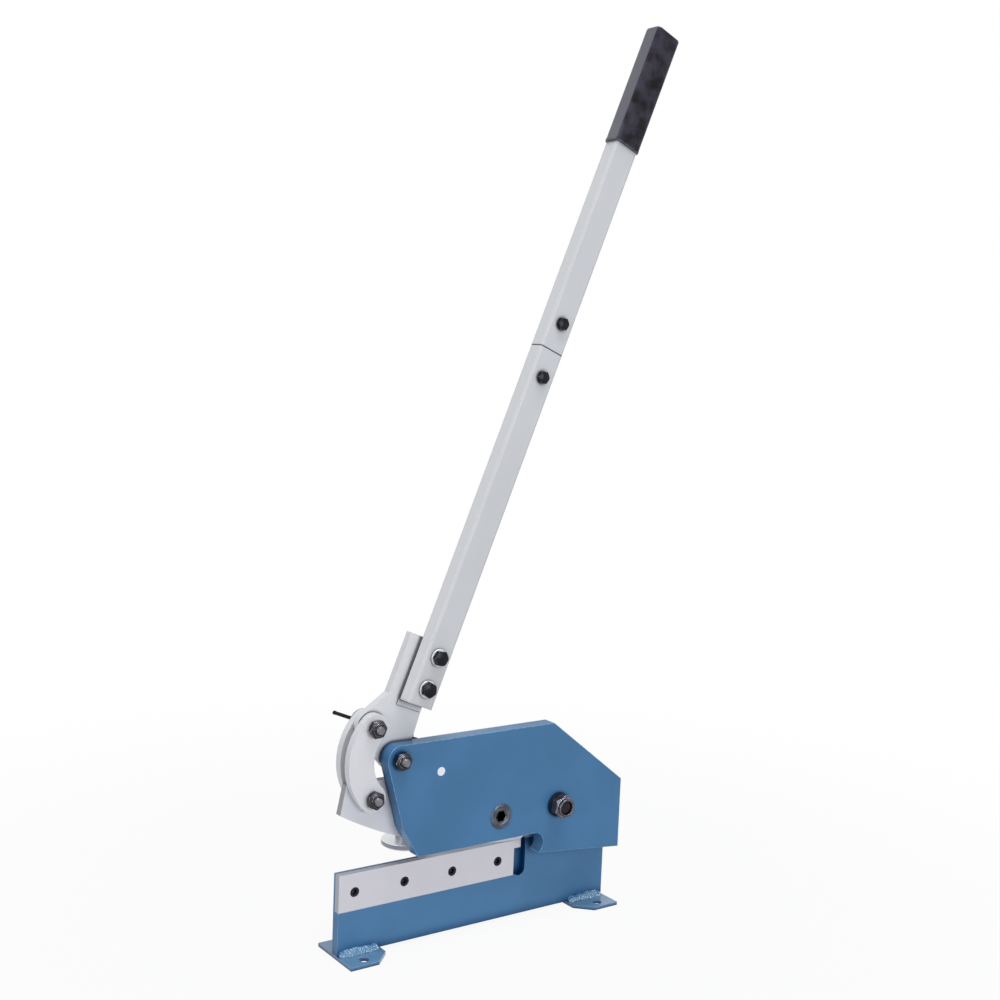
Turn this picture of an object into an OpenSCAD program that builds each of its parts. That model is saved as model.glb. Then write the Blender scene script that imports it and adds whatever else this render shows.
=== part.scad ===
// Bench lever shear: a C-shaped base plate and a front cheek carry a rocking cutter arm,
// which a long hand lever pulls down through two curved links.
// X runs along the blades to the right, Y to the back and Z up from the bench. The origin is the
// middle of the four foot holes. Plan distances along X are given from the left end of the base.

/* [Base plate and throat] */
// Length of the base plate
base_l = 455; // [450:1:470]
// Thickness of the base plate, which is also the rear cheek
base_t = 14; // [12:0.5:16]
// Height of the lower jaw above the bench
jaw_z = 117; // [114:0.5:119]
// Height of the underside of the upper jaw
throat_z = 136; // [134:0.5:139]
// Round end of the throat in the base plate, from the left end
throat_end = 326; // [318:1:330]
// Right edge of the milled relief beside the lower blade, from the left end
relief_x = 307.5; // [304:0.5:309]
// Width of the milled relief
relief_w = 20; // [16:0.5:20]
// Depth of the milled relief below the lower jaw
relief_depth = 54.5; // [50:0.5:58]

/* [Feet] */
// Thickness of the foot plates
foot_t = 5; // [4:0.5:8]
// Length of each foot along the base
foot_l = 66; // [60:1:72]
// Width of each foot across the base
foot_w = 92; // [84:1:110]
// Corner cut on the inner corners of a foot
foot_cut = 23; // [16:0.5:26]
// Diameter of the bench holes
bench_hole_d = 14; // [11:0.5:15]
// Distance of the bench holes from the ends of the base
bench_inset = 27.5; // [22:0.5:32]
// Spacing of the bench holes across the base
bench_y = 64; // [58:1:74]
// Leg of the weld beads
weld_r = 6; // [4:0.5:7]

/* [Lower blade] */
// Length of the lower blade along its cutting edge
blade_l = 299; // [296:0.5:300]
// Height of the lower blade
blade_h = 52; // [46:1:56]
// Thickness of the lower blade
blade_t = 10; // [8:0.5:10.5]
// Length of the overhanging nose at the right end of the blade
nose_l = 11.5; // [8:0.5:12]
// Height of that nose
nose_h = 12; // [8:0.5:16]
// Number of blade screws
blade_screws = 4; // [3:1:5]
// Spacing of the blade screws
blade_pitch = 78.2; // [60:0.1:80]
// First blade screw from the left end
blade_screw_x = 24.4; // [18:0.1:30]
// Height of the blade screws above the blade's underside
blade_screw_rise = 25.5; // [20:0.5:32]
// Thread diameter of the blade screws
blade_screw_d = 8; // [6:0.5:8]

/* [Front cheek] */
// Thickness of the front cheek
cheek_t = 22; // [18:0.5:25]
// Height of the cheek's top edge
cheek_top = 294; // [290:0.5:298]
// Radius of the round notch that ends the cheek's lower edge
notch_r = 16.3; // [15:0.1:17]
// Centre of the notch from the left end
notch_x = 297.5; // [294:0.5:300]
// Peak of the cheek from the left end
peak_x = 325; // [310:1:340]
// Height of the cheek's right shoulder
shoulder_z = 194; // [180:1:210]
// Height of the cheek's lower right corner
heel_z = 90; // [84:0.5:94]
// Lower left corner of the cheek from the left end
toe_x = 102; // [96:1:110]
// Side corner of the cheek from the left end
hip_x = 77; // [75:0.5:80]
// Height of the cheek's side corner
hip_z = 177; // [170:1:184]
// Thickness of the spacer plate, which sets the gap that the arm works in
spacer_t = 12; // [11.8:0.1:14]
// Left end of the spacer plate from the left end of the base
spacer_x1 = 319; // [318:0.5:324]
// Right end of the spacer plate from the left end of the base
spacer_x2 = 400; // [390:1:420]
// Height of the spacer plate's top edge
spacer_top = 121; // [116:0.5:122]

/* [Cutter arm] */
// Main pivot from the left end of the base
pivot_x = 337.7; // [336:0.1:340]
// Height of the main pivot
pivot_z = 172.7; // [171:0.1:174]
// Diameter of the main pivot bolt
pivot_d = 20; // [16:1:20]
// Thickness of the cutter arm
arm_t = 11; // [9:0.5:11.4]
// Radius of the arm's eye around the main pivot
arm_eye_r = 30; // [26:0.5:32]
// Height of the arm's top edge
arm_top = 243.6; // [241:0.1:243.6]
// Lower left corner of the arm from the left end of the base
arm_tip_x = -7.5; // [-9:0.5:-4]
// Radius of the curved cutting edge
edge_r = 620; // [560:10:700]
// Lowest point of the curved cutting edge from the left end of the base
edge_x = 300; // [296:1:304]
// Height of the lowest point of the cutting edge
edge_z = 122; // [121:0.5:124]
// Right end of the cutting edge from the left end of the base
edge_end = 290; // [284:1:291]
// Height of the upper blade
upper_h = 24; // [20:1:25]
// Thickness of the upper blade
upper_t = 7; // [5:0.5:8]

/* [Lever and links] */
// Lever pivot from the left end of the base
lever_x = 69.4; // [68:0.1:71]
// Height of the lever pivot
lever_z = 274.3; // [273:0.1:275]
// Diameter of the lever pivot bolt
lever_d = 14; // [12:0.5:14]
// Lean of the raised lever to the right of upright, in degrees
lever_tilt = 22.1; // [20:0.1:24]
// Upper link pin from the lever pivot, across the lever
crank_w = 48.6; // [47:0.1:50]
// Upper link pin from the lever pivot, along the lever
crank_s = 28.8; // [28:0.1:30]
// Distance between the two link pins
link_l = 96; // [94:0.5:98]
// Thickness of each link
link_t = 11.5; // [9:0.5:12]
// Width of each link
link_w = 38; // [34:0.5:39]
// Bow of the links at half length
link_bow = 19.5; // [17:0.5:20.5]
// Diameter of the link bolts
link_d = 12; // [10:0.5:12]
// Width of the rectangular lever tube
tube_w = 40; // [36:0.5:42]
// Depth of the lever tube
tube_d = 25; // [22:0.5:28]
// Wall of the lever tube
tube_wall = 3; // [2:0.5:3.5]
// Distance from the lever pivot up to the tube
tube_rise = 75; // [72:1:80]
// Length of the lower tube
lower_tube_l = 516; // [480:1:540]
// Length of the upper tube
upper_tube_l = 487; // [440:1:520]
// Length of the bar that joins the tubes
splice_l = 160; // [120:1:200]
// Diameter of the splice bolts
splice_d = 10; // [8:0.5:10]
// Length of the hand grip
grip_l = 179; // [150:1:200]
// Wall of the hand grip
grip_wall = 2.4; // [2:0.1:4]

/* [Hold-down] */
// Axis of the hold-down spindle from the left end of the base
hold_x = 128.7; // [122:0.1:134]
// Distance of the spindle axis behind the middle of the base plate
hold_y = 39.2; // [38:0.1:44]
// Diameter of the spindle thread
spindle_d = 16; // [14:0.5:18]
// Height of the underside of the hold-down foot
hold_z = 125; // [124:0.5:126]
// Diameter of the hold-down foot
hold_foot_d = 66; // [56:1:68]
// Thickness of the hold-down foot
hold_foot_t = 8.6; // [7:0.1:9]
// Height of the tommy bar
bar_z = 278.7; // [272:0.1:284]
// Diameter of the tommy bar
bar_d = 5.5; // [5:0.5:6]
// Length of the tommy bar
bar_l = 184; // [150:1:190]
// Length of the tommy bar in front of the spindle
bar_front = 18; // [16:0.5:19]
// Direction of the tommy bar seen from above, in degrees from the X axis
bar_turn = 99.7; // [92:0.1:105]

/* [Hidden] */
$fn = 72;

// One overrun for every through cut
over = 1;
// Radial clearance of a turning pin
run_gap = 0.08;
// Radial clearance of a bolt in a fixed hole
bolt_gap = 0.25;
// Radial clearance between a thread and its nut
thread_gap = 0.05;
// Gap between the arm and the blade that it shears past
blade_gap = 0.4;
// Gap between a link and what it works beside
link_gap = 0.4;
// Gap under a piece that is pressed into a recess
seat_gap = 0.1;

// Depths along Y, front and back of each layer
y_base_front = -base_t / 2;
y_base_back = base_t / 2;
y_arm_back = y_base_front - blade_gap;
y_arm_front = y_arm_back - arm_t;
y_cheek_back = y_base_front - spacer_t;
y_cheek_front = y_cheek_back - cheek_t;
y_rear_link_front = y_arm_back + link_gap;
y_rear_link_back = y_rear_link_front + link_t;
y_front_link_back = y_arm_front - link_gap;
y_front_link_front = y_front_link_back - link_t;

// Places along X and Z, with X measured from the middle of the base
function at(x, z) = [x - base_l / 2, z];
main_pivot = at(pivot_x, pivot_z);
lever_pivot = at(lever_x, lever_z);
notch = at(notch_x, throat_z - notch_r);
function lever_out(w, s) = lever_pivot
  + w * [cos(lever_tilt), -sin(lever_tilt)] + s * [sin(lever_tilt), cos(lever_tilt)];
link_top = lever_out(-crank_w, crank_s);
link_foot = link_top - [0, link_l];

// Small sizes of the fixed plates
blade_z = jaw_z - 0.5 * blade_gap - blade_h;
corner_r = cheek_top - lever_z;
rear_boss_r = 13;
rear_top = 278;
rear_peak_x = 312;
rear_shoulder_z = 180;
rear_hip_x = 87;
rear_toe_x = 111;
heel_slope_share = 0.105;

// Sizes of standard fasteners, as shares of the thread diameter
hex_share = 1.5;
head_h_share = 0.64;
nut_h_share = 0.95;
collar_share = 0.3;
washer_share = 1.75;
head_washer_share = 2;
large_washer_share = 3.1;
washer_t_share = 0.19;
large_washer_t_share = 0.25;
cap_head_share = 1.6;
socket_share = 0.8;
tail_share = 0.25;
sunk_share = 0.1;

// The stop pin and the guide screw in the cheek
stop_pin_x = 134;
stop_pin_d = 12;
stop_gap = 0.4;
stop_pin = at(stop_pin_x, arm_top + stop_gap + stop_pin_d / 2);
guide_x = 237.2;
guide_z = 170.6;
guide = at(guide_x, guide_z);
guide_d = 32;
guide_head_d = 37;
guide_head_t = 1.6;
guide_socket = 15;
guide_socket_depth = 12;
guide_chamfer = 1.5;

// Sleeves keep the two cheeks apart so that the arm and the lever stay free
sleeve_wall = 3;
main_sleeve_d = pivot_d + 2 * sleeve_wall;
lever_sleeve_d = lever_d + 2 * sleeve_wall;

// The open pivot: the lower link bolt sits in a slot in the arm
slot_reach = 13.5;
slot_rise = 3.8;
slot_gap = 1.5;
slot_half = link_d / 2 + slot_gap;

// Outline of the cutter arm and its blade
arm_brow_share = 0.24;
arm_lean = 8.2;
arm_heel_angle = -125;
arm_past_share = 0.1;
heel_share = 0.8;
upper_left = 2;
skin_t = 1;

// Outline of the lever head in the lever's own frame, across and along the lever
hub_r = 19;
eye_r = 21;
strap_left = -41;
strap_right = 18;
strap_corner = 78;
strap_top = 163;
head_bend_w = 20.5;
head_bend_s = 30;
tube_w0 = -3.2;
pad_t = 1.5;
pad_drop = 8;
tube_corner_r = 3;
head_bolt_d = 12;
head_bolt_s = [99.5, 144];
splice_offset = 40;
splice_gap = 0.3;
grip_corner_r = 6.5;
grip_cap = 4;
grip_gap = 0.15;
grip_lip = 6;
grip_lip_t = 1;

// Lever tube and what hangs on it, in the lever's frame
y_tube_back = y_arm_front - pad_t;
y_tube_mid = y_tube_back - tube_d / 2;
y_tube_front = y_tube_back - tube_d;
seam_s = tube_rise + lower_tube_l;
tube_end = seam_s + upper_tube_l;
grip_s = tube_end + grip_cap - grip_l;

// Hold-down block on the back of the base plate
block_w = 40;
block_h = 46;
block_z = 196;
block_wall = 10;
block_cut = 8;
spindle_gap = 0.15;
foot_boss_d = 26;
foot_boss_h = 9;
foot_floor = 5;
foot_edge = 2;
spindle_head_h = 13;
spindle_neck = 1.5;
bar_gap = 0.15;
bar_cap_r_share = 0.6;
bar_cap_l = 3;

// Point where the line from p touches the circle around c, on the left side seen from p for
// side = 1 and on the right for side = -1
function touch(p, c, r, side) =
  let (v = c - p, d = norm(v), a = atan2(v[1], v[0]) + side * asin(r / d), l = sqrt(d * d - r * r))
  p + l * [cos(a), sin(a)];

// Height of the curved cutting edge at x, in the plane of the plates
function edge_at(x) = edge_z + edge_r - sqrt(edge_r * edge_r - pow(x + base_l / 2 - edge_x, 2));

// A plate cut to the outline of its children, from y_back forward by t
module plate(y_back, t) {
  translate([0, y_back, 0]) rotate([90, 0, 0]) linear_extrude(height = t) children();
}

// A round pin along Y between two depths
module pin(p, y_front, y_back, d) {
  translate([p[0], y_back, p[1]]) rotate([90, 0, 0]) cylinder(h = y_back - y_front, d = d);
}

// A hexagonal prism along Y between two depths, of a given width across flats
module hex(p, y_front, y_back, across) {
  translate([p[0], y_back, p[1]]) rotate([90, 0, 0])
    cylinder(h = y_back - y_front, d = across / cos(30), $fn = 6);
}

// The band between two circles, with straight sides that touch both
module strap(p, rp, q, rq) {
  d = norm(q - p);
  a = atan2(q[1] - p[1], q[0] - p[0]);
  b = acos((rp - rq) / d);
  translate(p) circle(r = rp);
  translate(q) circle(r = rq);
  polygon([
    p + rp * [cos(a + b), sin(a + b)], q + rq * [cos(a + b), sin(a + b)],
    q + rq * [cos(a - b), sin(a - b)], p + rp * [cos(a - b), sin(a - b)]
  ]);
}

// A rectangle with round corners, centred
module round_rect(w, d, r) {
  square([w - 2 * r, d], center = true);
  square([w, d - 2 * r], center = true);
  for (i = [-1, 1], j = [-1, 1])
    translate([i * (w / 2 - r), j * (d / 2 - r)]) circle(r = r);
}

// A hexagon bolt: head behind the depth y_head, shank forward to y_end
module hex_bolt(p, y_end, y_head, d) {
  pin(p, y_end, y_head, d);
  hex(p, y_head, y_head + head_h_share * d, hex_share * d);
}

// A hexagon bolt with its head in front of the depth y_head and its end behind at y_end
module front_bolt(p, y_head, y_end, d) {
  pin(p, y_head, y_end, d);
  hex(p, y_head - head_h_share * d, y_head, hex_share * d);
}

// A locking nut in front of the depth y_seat, with its round collar forward
module lock_nut(p, y_seat, d) {
  h = nut_h_share * d;
  difference() {
    union() {
      hex(p, y_seat - (1 - collar_share) * h, y_seat, hex_share * d);
      pin(p, y_seat - h, y_seat - (1 - collar_share) * h, (hex_share - 0.15) * d);
    }
    pin(p, y_seat - h - over, y_seat + over, d + 2 * thread_gap);
  }
}

// A plain nut behind the depth y_seat
module back_nut(p, y_seat, d) {
  difference() {
    hex(p, y_seat, y_seat + head_h_share * d, hex_share * d);
    pin(p, y_seat - over, y_seat + d, d + 2 * thread_gap);
  }
}

// A washer whose back is at the depth y_back, with its diameter and thickness as shares of the bolt's
module washer(p, y_back, d, share, t_share) {
  difference() {
    pin(p, y_back - t_share * d, y_back, share * d);
    pin(p, y_back - d, y_back + over, d + 2 * bolt_gap);
  }
}

// The frame of the lever: X across the tube, Z along it, from the lever pivot
module in_lever() {
  translate([lever_pivot[0], 0, lever_pivot[1]]) rotate([0, lever_tilt, 0]) children();
}

// Blade screw number i, counted from the left end
function blade_screw(i) = at(blade_screw_x + i * blade_pitch, blade_z + blade_screw_rise);

// Base plate and rear cheek

module base_outline() {
  left_touch = touch(at(rear_hip_x, hip_z), lever_pivot, rear_boss_r, -1);
  end_r = (throat_z - jaw_z) / 2;
  difference() {
    union() {
      polygon([
        at(0, foot_t), at(base_l, foot_t), at(base_l, rear_shoulder_z), at(rear_peak_x, rear_top),
        [lever_pivot[0], rear_top], lever_pivot, left_touch,
        at(rear_hip_x, hip_z), at(rear_toe_x, throat_z), at(throat_end - end_r, throat_z),
        at(throat_end - end_r, jaw_z), at(0, jaw_z)
      ]);
      translate(lever_pivot) circle(r = rear_boss_r);
    }
    translate(at(throat_end - end_r, jaw_z + end_r)) circle(r = end_r);
  }
}

// The milled relief at the right end of the blade's seat
module relief_outline() {
  low = at(relief_x - relief_w / 2, jaw_z - relief_depth + relief_w / 2);
  translate(low) circle(d = relief_w);
  translate(low - [relief_w / 2, 0]) square([relief_w, relief_depth]);
}

module base_plate() {
  color("steelblue") difference() {
    plate(y_base_back, base_t) base_outline();
    translate([-base_l / 2 - over, y_base_front - over, blade_z])
      cube([relief_x - relief_w / 2 + over, blade_t + over, blade_h + over]);
    plate(y_base_front + blade_t, blade_t + over) relief_outline();
    for (i = [0 : blade_screws - 1])
      pin(blade_screw(i), y_base_front - over, y_base_back + over, blade_screw_d + 2 * bolt_gap);
    pin(main_pivot, y_base_front - over, y_base_back + over, pivot_d + 2 * bolt_gap);
    pin(lever_pivot, y_base_front - over, y_base_back + over, lever_d + 2 * bolt_gap);
    pin(stop_pin, y_base_front - over, y_base_back + over, stop_pin_d + 2 * seat_gap);
  }
}

// Feet

// The left foot, centred across the base; the right one is its mirror image
module foot() {
  translate([-base_l / 2, 0, 0]) difference() {
    linear_extrude(height = foot_t) polygon([
      [0, -foot_w / 2], [foot_l - foot_cut, -foot_w / 2], [foot_l, -foot_w / 2 + foot_cut],
      [foot_l, foot_w / 2 - foot_cut], [foot_l - foot_cut, foot_w / 2], [0, foot_w / 2]
    ]);
    for (side = [-1, 1])
      translate([bench_inset, side * bench_y / 2, -over]) cylinder(h = foot_t + 2 * over, d = bench_hole_d);
  }
}

module foot_left() {
  color("steelblue") foot();
}

module foot_right() {
  color("steelblue") mirror([1, 0, 0]) foot();
}

// A quarter-round bead in the corner between a foot and the base plate
module foot_bead(l) {
  intersection() {
    rotate([0, 90, 0]) cylinder(h = l, r = weld_r);
    translate([0, -weld_r, 0]) cube([l, weld_r, weld_r]);
  }
}

module foot_welds() {
  inset = weld_r;
  color("steelblue")
    for (end = [0, 1], side = [0, 1])
      mirror([end, 0, 0]) mirror([0, side, 0])
        translate([-base_l / 2 + inset, y_base_front, foot_t]) foot_bead(foot_l - 2 * inset);
}

// Front cheek and spacer

// Height of the cheek's sloping lower edge at a distance from the left end
function heel_line(x) = heel_z + (base_l - x) * heel_slope_share;

module front_cheek_outline() {
  difference() {
    union() {
      polygon([
        lever_pivot, touch(at(hip_x, hip_z), lever_pivot, corner_r, 1), at(hip_x, hip_z),
        at(toe_x, throat_z), at(notch_x, throat_z),
        at(notch_x, heel_line(notch_x)), at(base_l, heel_z),
        at(base_l, shoulder_z), at(peak_x, cheek_top), [lever_pivot[0], cheek_top]
      ]);
      translate(lever_pivot) circle(r = corner_r);
    }
    translate(notch) circle(r = notch_r);
  }
}

module front_cheek() {
  color("steelblue") difference() {
    plate(y_cheek_back, cheek_t) front_cheek_outline();
    pin(main_pivot, y_cheek_front - over, y_cheek_back + over, pivot_d + 2 * bolt_gap);
    pin(lever_pivot, y_cheek_front - over, y_cheek_back + over, lever_d + 2 * bolt_gap);
    pin(stop_pin, y_cheek_front - over, y_cheek_back + over, stop_pin_d + 2 * seat_gap);
    pin(guide, y_cheek_front - over, y_cheek_back + over, guide_d + 2 * thread_gap);
  }
}

module spacer_plate() {
  color("steelblue") plate(y_base_front, spacer_t)
    polygon([
      at(spacer_x1, heel_line(spacer_x1)), at(spacer_x2, heel_line(spacer_x2)),
      at(spacer_x2, spacer_top), at(spacer_x1, spacer_top)
    ]);
}

// A half-round bead that closes the gap under the spacer plate
module cheek_weld() {
  bead_r = spacer_t / 2;
  l = (spacer_x2 - spacer_x1) * norm([1, heel_slope_share]);
  start = at(spacer_x1, heel_line(spacer_x1));
  color("steelblue") translate([start[0], y_base_front - bead_r, start[1]])
    rotate([0, atan(heel_slope_share), 0]) intersection() {
      rotate([0, 90, 0]) cylinder(h = l, r = bead_r);
      translate([0, -bead_r, -bead_r]) cube([l, 2 * bead_r, bead_r]);
    }
}

// Lower blade

module lower_blade() {
  left = -base_l / 2;
  color("gainsboro") difference() {
    union() {
      translate([left, y_base_front, blade_z]) cube([blade_l - nose_l, blade_t, blade_h]);
      translate([left, y_base_front, blade_z + blade_h - nose_h]) cube([blade_l, blade_t, nose_h]);
    }
    for (i = [0 : blade_screws - 1]) {
      pin(blade_screw(i), y_base_front - over, y_base_back, blade_screw_d + 2 * bolt_gap);
      pin(blade_screw(i), y_base_front - over, y_base_front + blade_screw_d,
        (cap_head_share + 0.1) * blade_screw_d);
    }
  }
}

module lower_blade_screws() {
  recess = 1;
  end = y_base_back + head_h_share * blade_screw_d + recess;
  color("dimgray") for (i = [0 : blade_screws - 1]) difference() {
    union() {
      pin(blade_screw(i), y_base_front + recess, end, blade_screw_d);
      pin(blade_screw(i), y_base_front + recess, y_base_front + blade_screw_d,
        cap_head_share * blade_screw_d);
    }
    hex(blade_screw(i), y_base_front - over, y_base_front + blade_screw_d * socket_share,
      blade_screw_d * socket_share);
  }
}

module lower_blade_nuts() {
  color("dimgray") for (i = [0 : blade_screws - 1]) back_nut(blade_screw(i), y_base_back, blade_screw_d);
}

// Stop pin and guide screw

module arm_stop_pin() {
  color("silver") pin(stop_pin, y_cheek_front, y_base_back, stop_pin_d);
}

module arm_guide_screw() {
  color("dimgray") difference() {
    translate([guide[0], 0, guide[1]]) rotate([90, 0, 0]) rotate_extrude() polygon([
      [0, -y_arm_front + 2 * seat_gap], [guide_d / 2, -y_arm_front + 2 * seat_gap],
      [guide_d / 2, -y_cheek_front], [guide_head_d / 2, -y_cheek_front],
      [guide_head_d / 2 - guide_chamfer, -y_cheek_front + guide_head_t],
      [0, -y_cheek_front + guide_head_t]
    ]);
    hex(guide, y_cheek_front - guide_head_t - over,
      y_cheek_front - guide_head_t + guide_socket_depth, guide_socket);
  }
}

// Main pivot

module main_pivot_bolt() {
  washer_t = washer_t_share * pivot_d;
  end = y_cheek_front - washer_t - (nut_h_share - sunk_share) * pivot_d;
  color("dimgray")
    hex_bolt(main_pivot, end, y_base_back + washer_t, pivot_d);
}

module main_pivot_sleeve() {
  color("darkgoldenrod") difference() {
    pin(main_pivot, y_cheek_back, y_base_front, main_sleeve_d);
    pin(main_pivot, y_cheek_back - over, y_base_front + over, pivot_d + 2 * bolt_gap);
  }
}

module main_pivot_washers() {
  color("gray") {
    washer(main_pivot, y_cheek_front, pivot_d, washer_share, washer_t_share);
    washer(main_pivot, y_base_back + washer_t_share * pivot_d, pivot_d, washer_share, washer_t_share);
  }
}

module main_pivot_nut() {
  color("gray") lock_nut(main_pivot, y_cheek_front - washer_t_share * pivot_d, pivot_d);
}

// Lever pivot

module lever_pivot_bolt() {
  washer_t = washer_t_share * lever_d;
  end = y_cheek_front - washer_t - (nut_h_share + tail_share) * lever_d;
  color("dimgray") hex_bolt(lever_pivot, end, y_base_back + washer_t, lever_d);
}

module lever_pivot_sleeve() {
  color("darkgoldenrod") difference() {
    pin(lever_pivot, y_cheek_back, y_base_front, lever_sleeve_d);
    pin(lever_pivot, y_cheek_back - over, y_base_front + over, lever_d + 2 * bolt_gap);
  }
}

module lever_pivot_washers() {
  color("gray") {
    washer(lever_pivot, y_cheek_front, lever_d, washer_share, washer_t_share);
    washer(lever_pivot, y_base_back + washer_t_share * lever_d, lever_d, washer_share, washer_t_share);
  }
}

module lever_pivot_nut() {
  color("dimgray") lock_nut(lever_pivot, y_cheek_front - washer_t_share * lever_d, lever_d);
}

// Cutter arm and upper blade

// The curved region above the cutting edge, between two heights over it
module edge_band(low, high) {
  centre = at(edge_x, edge_z + edge_r);
  difference() {
    translate(centre) circle(r = edge_r - low, $fn = 360);
    translate(centre) circle(r = edge_r - high, $fn = 360);
  }
}

module arm_outline() {
  tip = at(arm_tip_x, edge_at(arm_tip_x - base_l / 2));
  shoulder = at(arm_tip_x + arm_lean, arm_top);
  brow = at(lever_x + (pivot_x - lever_x) * arm_brow_share, arm_top);
  heel = at(edge_end, edge_at(edge_end - base_l / 2));
  heel_reach = heel_share * arm_eye_r;
  heel_start = main_pivot + heel_reach * [cos(arm_heel_angle), sin(arm_heel_angle)];
  below_tip = tip + arm_past_share * (tip - shoulder);
  below_heel = heel + arm_past_share * (heel - heel_start);
  intersection() {
    polygon([
      below_heel, heel_start, touch(brow, main_pivot, arm_eye_r, 1), brow, shoulder,
      below_tip, below_tip - [0, arm_eye_r], below_heel - [0, arm_eye_r]
    ]);
    translate(at(edge_x, edge_z + edge_r)) circle(r = edge_r, $fn = 360);
  }
  translate(main_pivot) circle(r = arm_eye_r);
}

// The upper blade, or its recess in the back of the arm when grown by gap and deepened past the
// cutting edge by under
module upper_blade_outline(gap, under) {
  intersection() {
    edge_band(-under, upper_h + gap);
    translate(at(upper_left - gap, 0)) square([edge_end - upper_left + 2 * gap, arm_top]);
  }
}
// Screw number i of the upper blade
function upper_screw(i) =
  let (x = upper_left - base_l / 2 + (i + 0.5) * (edge_end - upper_left) / blade_screws)
  [x, edge_at(x) + upper_h / 2];

module cutter_arm() {
  color("lightsteelblue") difference() {
    plate(y_arm_back, arm_t) difference() {
      arm_outline();
      strap(link_foot, slot_half, link_foot + [-slot_reach, slot_rise], slot_half);
      translate(main_pivot) circle(d = main_sleeve_d + 2 * run_gap);
    }
    plate(y_arm_back + over, upper_t + over) upper_blade_outline(seat_gap, over);
    for (i = [0 : blade_screws - 1])
      pin(upper_screw(i), y_arm_front + skin_t, y_arm_back, blade_screw_d + 2 * thread_gap);
  }
}

module upper_blade() {
  color("gainsboro") difference() {
    plate(y_arm_back, upper_t) upper_blade_outline(0, 0);
    for (i = [0 : blade_screws - 1]) upper_screw_shape(i, bolt_gap);
  }
}

// A countersunk screw from the back, grown by gap
module upper_screw_shape(i, gap) {
  sink = blade_screw_d / 2;
  p = upper_screw(i);
  translate([p[0], y_arm_back, p[1]]) rotate([90, 0, 0]) {
    cylinder(h = arm_t - 1.5 * skin_t, d = blade_screw_d + 2 * gap);
    cylinder(h = sink, r1 = blade_screw_d + gap, r2 = blade_screw_d / 2 + gap);
  }
}

module upper_blade_screws() {
  color("dimgray") for (i = [0 : blade_screws - 1]) difference() {
    upper_screw_shape(i, 0);
    hex(upper_screw(i), y_arm_back - blade_screw_d / 2, y_arm_back + over, blade_screw_d * socket_share);
  }
}

// Links

// A crescent band between the two link pins, bowed to the left, with round ends
module link_outline() {
  bow_r = (pow(link_l / 2, 2) + link_bow * link_bow) / (2 * link_bow);
  centre = (link_top + link_foot) / 2 + [bow_r - link_bow, 0];
  half = asin(link_l / 2 / bow_r);
  reach = 2 * bow_r;
  intersection() {
    difference() {
      translate(centre) circle(r = bow_r + link_w / 2, $fn = 180);
      translate(centre) circle(r = bow_r - link_w / 2, $fn = 180);
    }
    translate(centre) polygon([
      [0, 0], reach * [-cos(half), sin(half)], [-2 * reach, 0], reach * [-cos(half), -sin(half)]
    ]);
  }
  translate(link_top) circle(d = link_w);
  translate(link_foot) circle(d = link_w);
}

module link_plate(y_back) {
  plate(y_back, link_t) difference() {
    link_outline();
    for (p = [link_top, link_foot]) translate(p) circle(d = link_d + 2 * bolt_gap);
  }
}

module link_front() {
  color("whitesmoke") link_plate(y_front_link_back);
}

module link_rear() {
  color("whitesmoke") link_plate(y_rear_link_back);
}

module link_bolts() {
  washer_t = washer_t_share * link_d;
  end = y_front_link_front - washer_t - (nut_h_share + tail_share) * link_d;
  head = y_rear_link_back + large_washer_t_share * link_d;
  color("dimgray") for (p = [link_top, link_foot]) hex_bolt(p, end, head, link_d);
}

// A washer under each nut and a large one under each bolt head
module link_washers() {
  head = y_rear_link_back + large_washer_t_share * link_d;
  color("gray") for (p = [link_top, link_foot]) {
    washer(p, y_front_link_front, link_d, washer_share, washer_t_share);
    washer(p, head, link_d, large_washer_share, large_washer_t_share);
  }
}

module link_nuts() {
  color("dimgray") for (p = [link_top, link_foot])
    lock_nut(p, y_front_link_front - washer_t_share * link_d, link_d);
}

// Lever head, drawn in the lever's frame

module lever_head_outline() {
  eye = [-crank_w, crank_s];
  corner = [strap_left, strap_corner];
  strap(eye, eye_r, [0, 0], hub_r);
  polygon([
    [hub_r, 0], [head_bend_w, head_bend_s], [strap_right, tube_rise - pad_drop], [strap_right, strap_top],
    [strap_left, strap_top], corner, touch(corner, eye, eye_r, -1), eye, [0, 0]
  ]);
}

module lever_head() {
  color("whitesmoke") in_lever() difference() {
    union() {
      plate(y_arm_back, arm_t) lever_head_outline();
      translate([tube_w0 - tube_w / 2, y_tube_back, tube_rise - pad_drop])
        cube([tube_w, pad_t, strap_top - tube_rise + pad_drop]);
    }
    pin([0, 0], y_arm_front - over, y_arm_back + over, lever_sleeve_d + 2 * run_gap);
    pin([-crank_w, crank_s], y_arm_front - over, y_arm_back + over, link_d + 2 * run_gap);
    for (s = head_bolt_s) pin([tube_w0, s], y_tube_back - over, y_arm_back + over, head_bolt_d + 2 * bolt_gap);
  }
}

// A length of tube from s upward, with its bolt holes
module tube_piece(s, l, holes, hole_d) {
  in_lever() difference() {
    translate([tube_w0, y_tube_mid, s]) linear_extrude(height = l) difference() {
      round_rect(tube_w, tube_d, tube_corner_r);
      square([tube_w - 2 * tube_wall, tube_d - 2 * tube_wall], center = true);
    }
    for (i = [0 : len(holes) - 1])
      pin([tube_w0, holes[i]], y_tube_front - over, y_tube_back + over, hole_d[i] + 2 * bolt_gap);
  }
}

module lever_tube_lower() {
  holes = [head_bolt_s[0], head_bolt_s[1], seam_s - splice_offset];
  color("whitesmoke")
    tube_piece(tube_rise, lower_tube_l, holes, [head_bolt_d, head_bolt_d, splice_d]);
}

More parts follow.
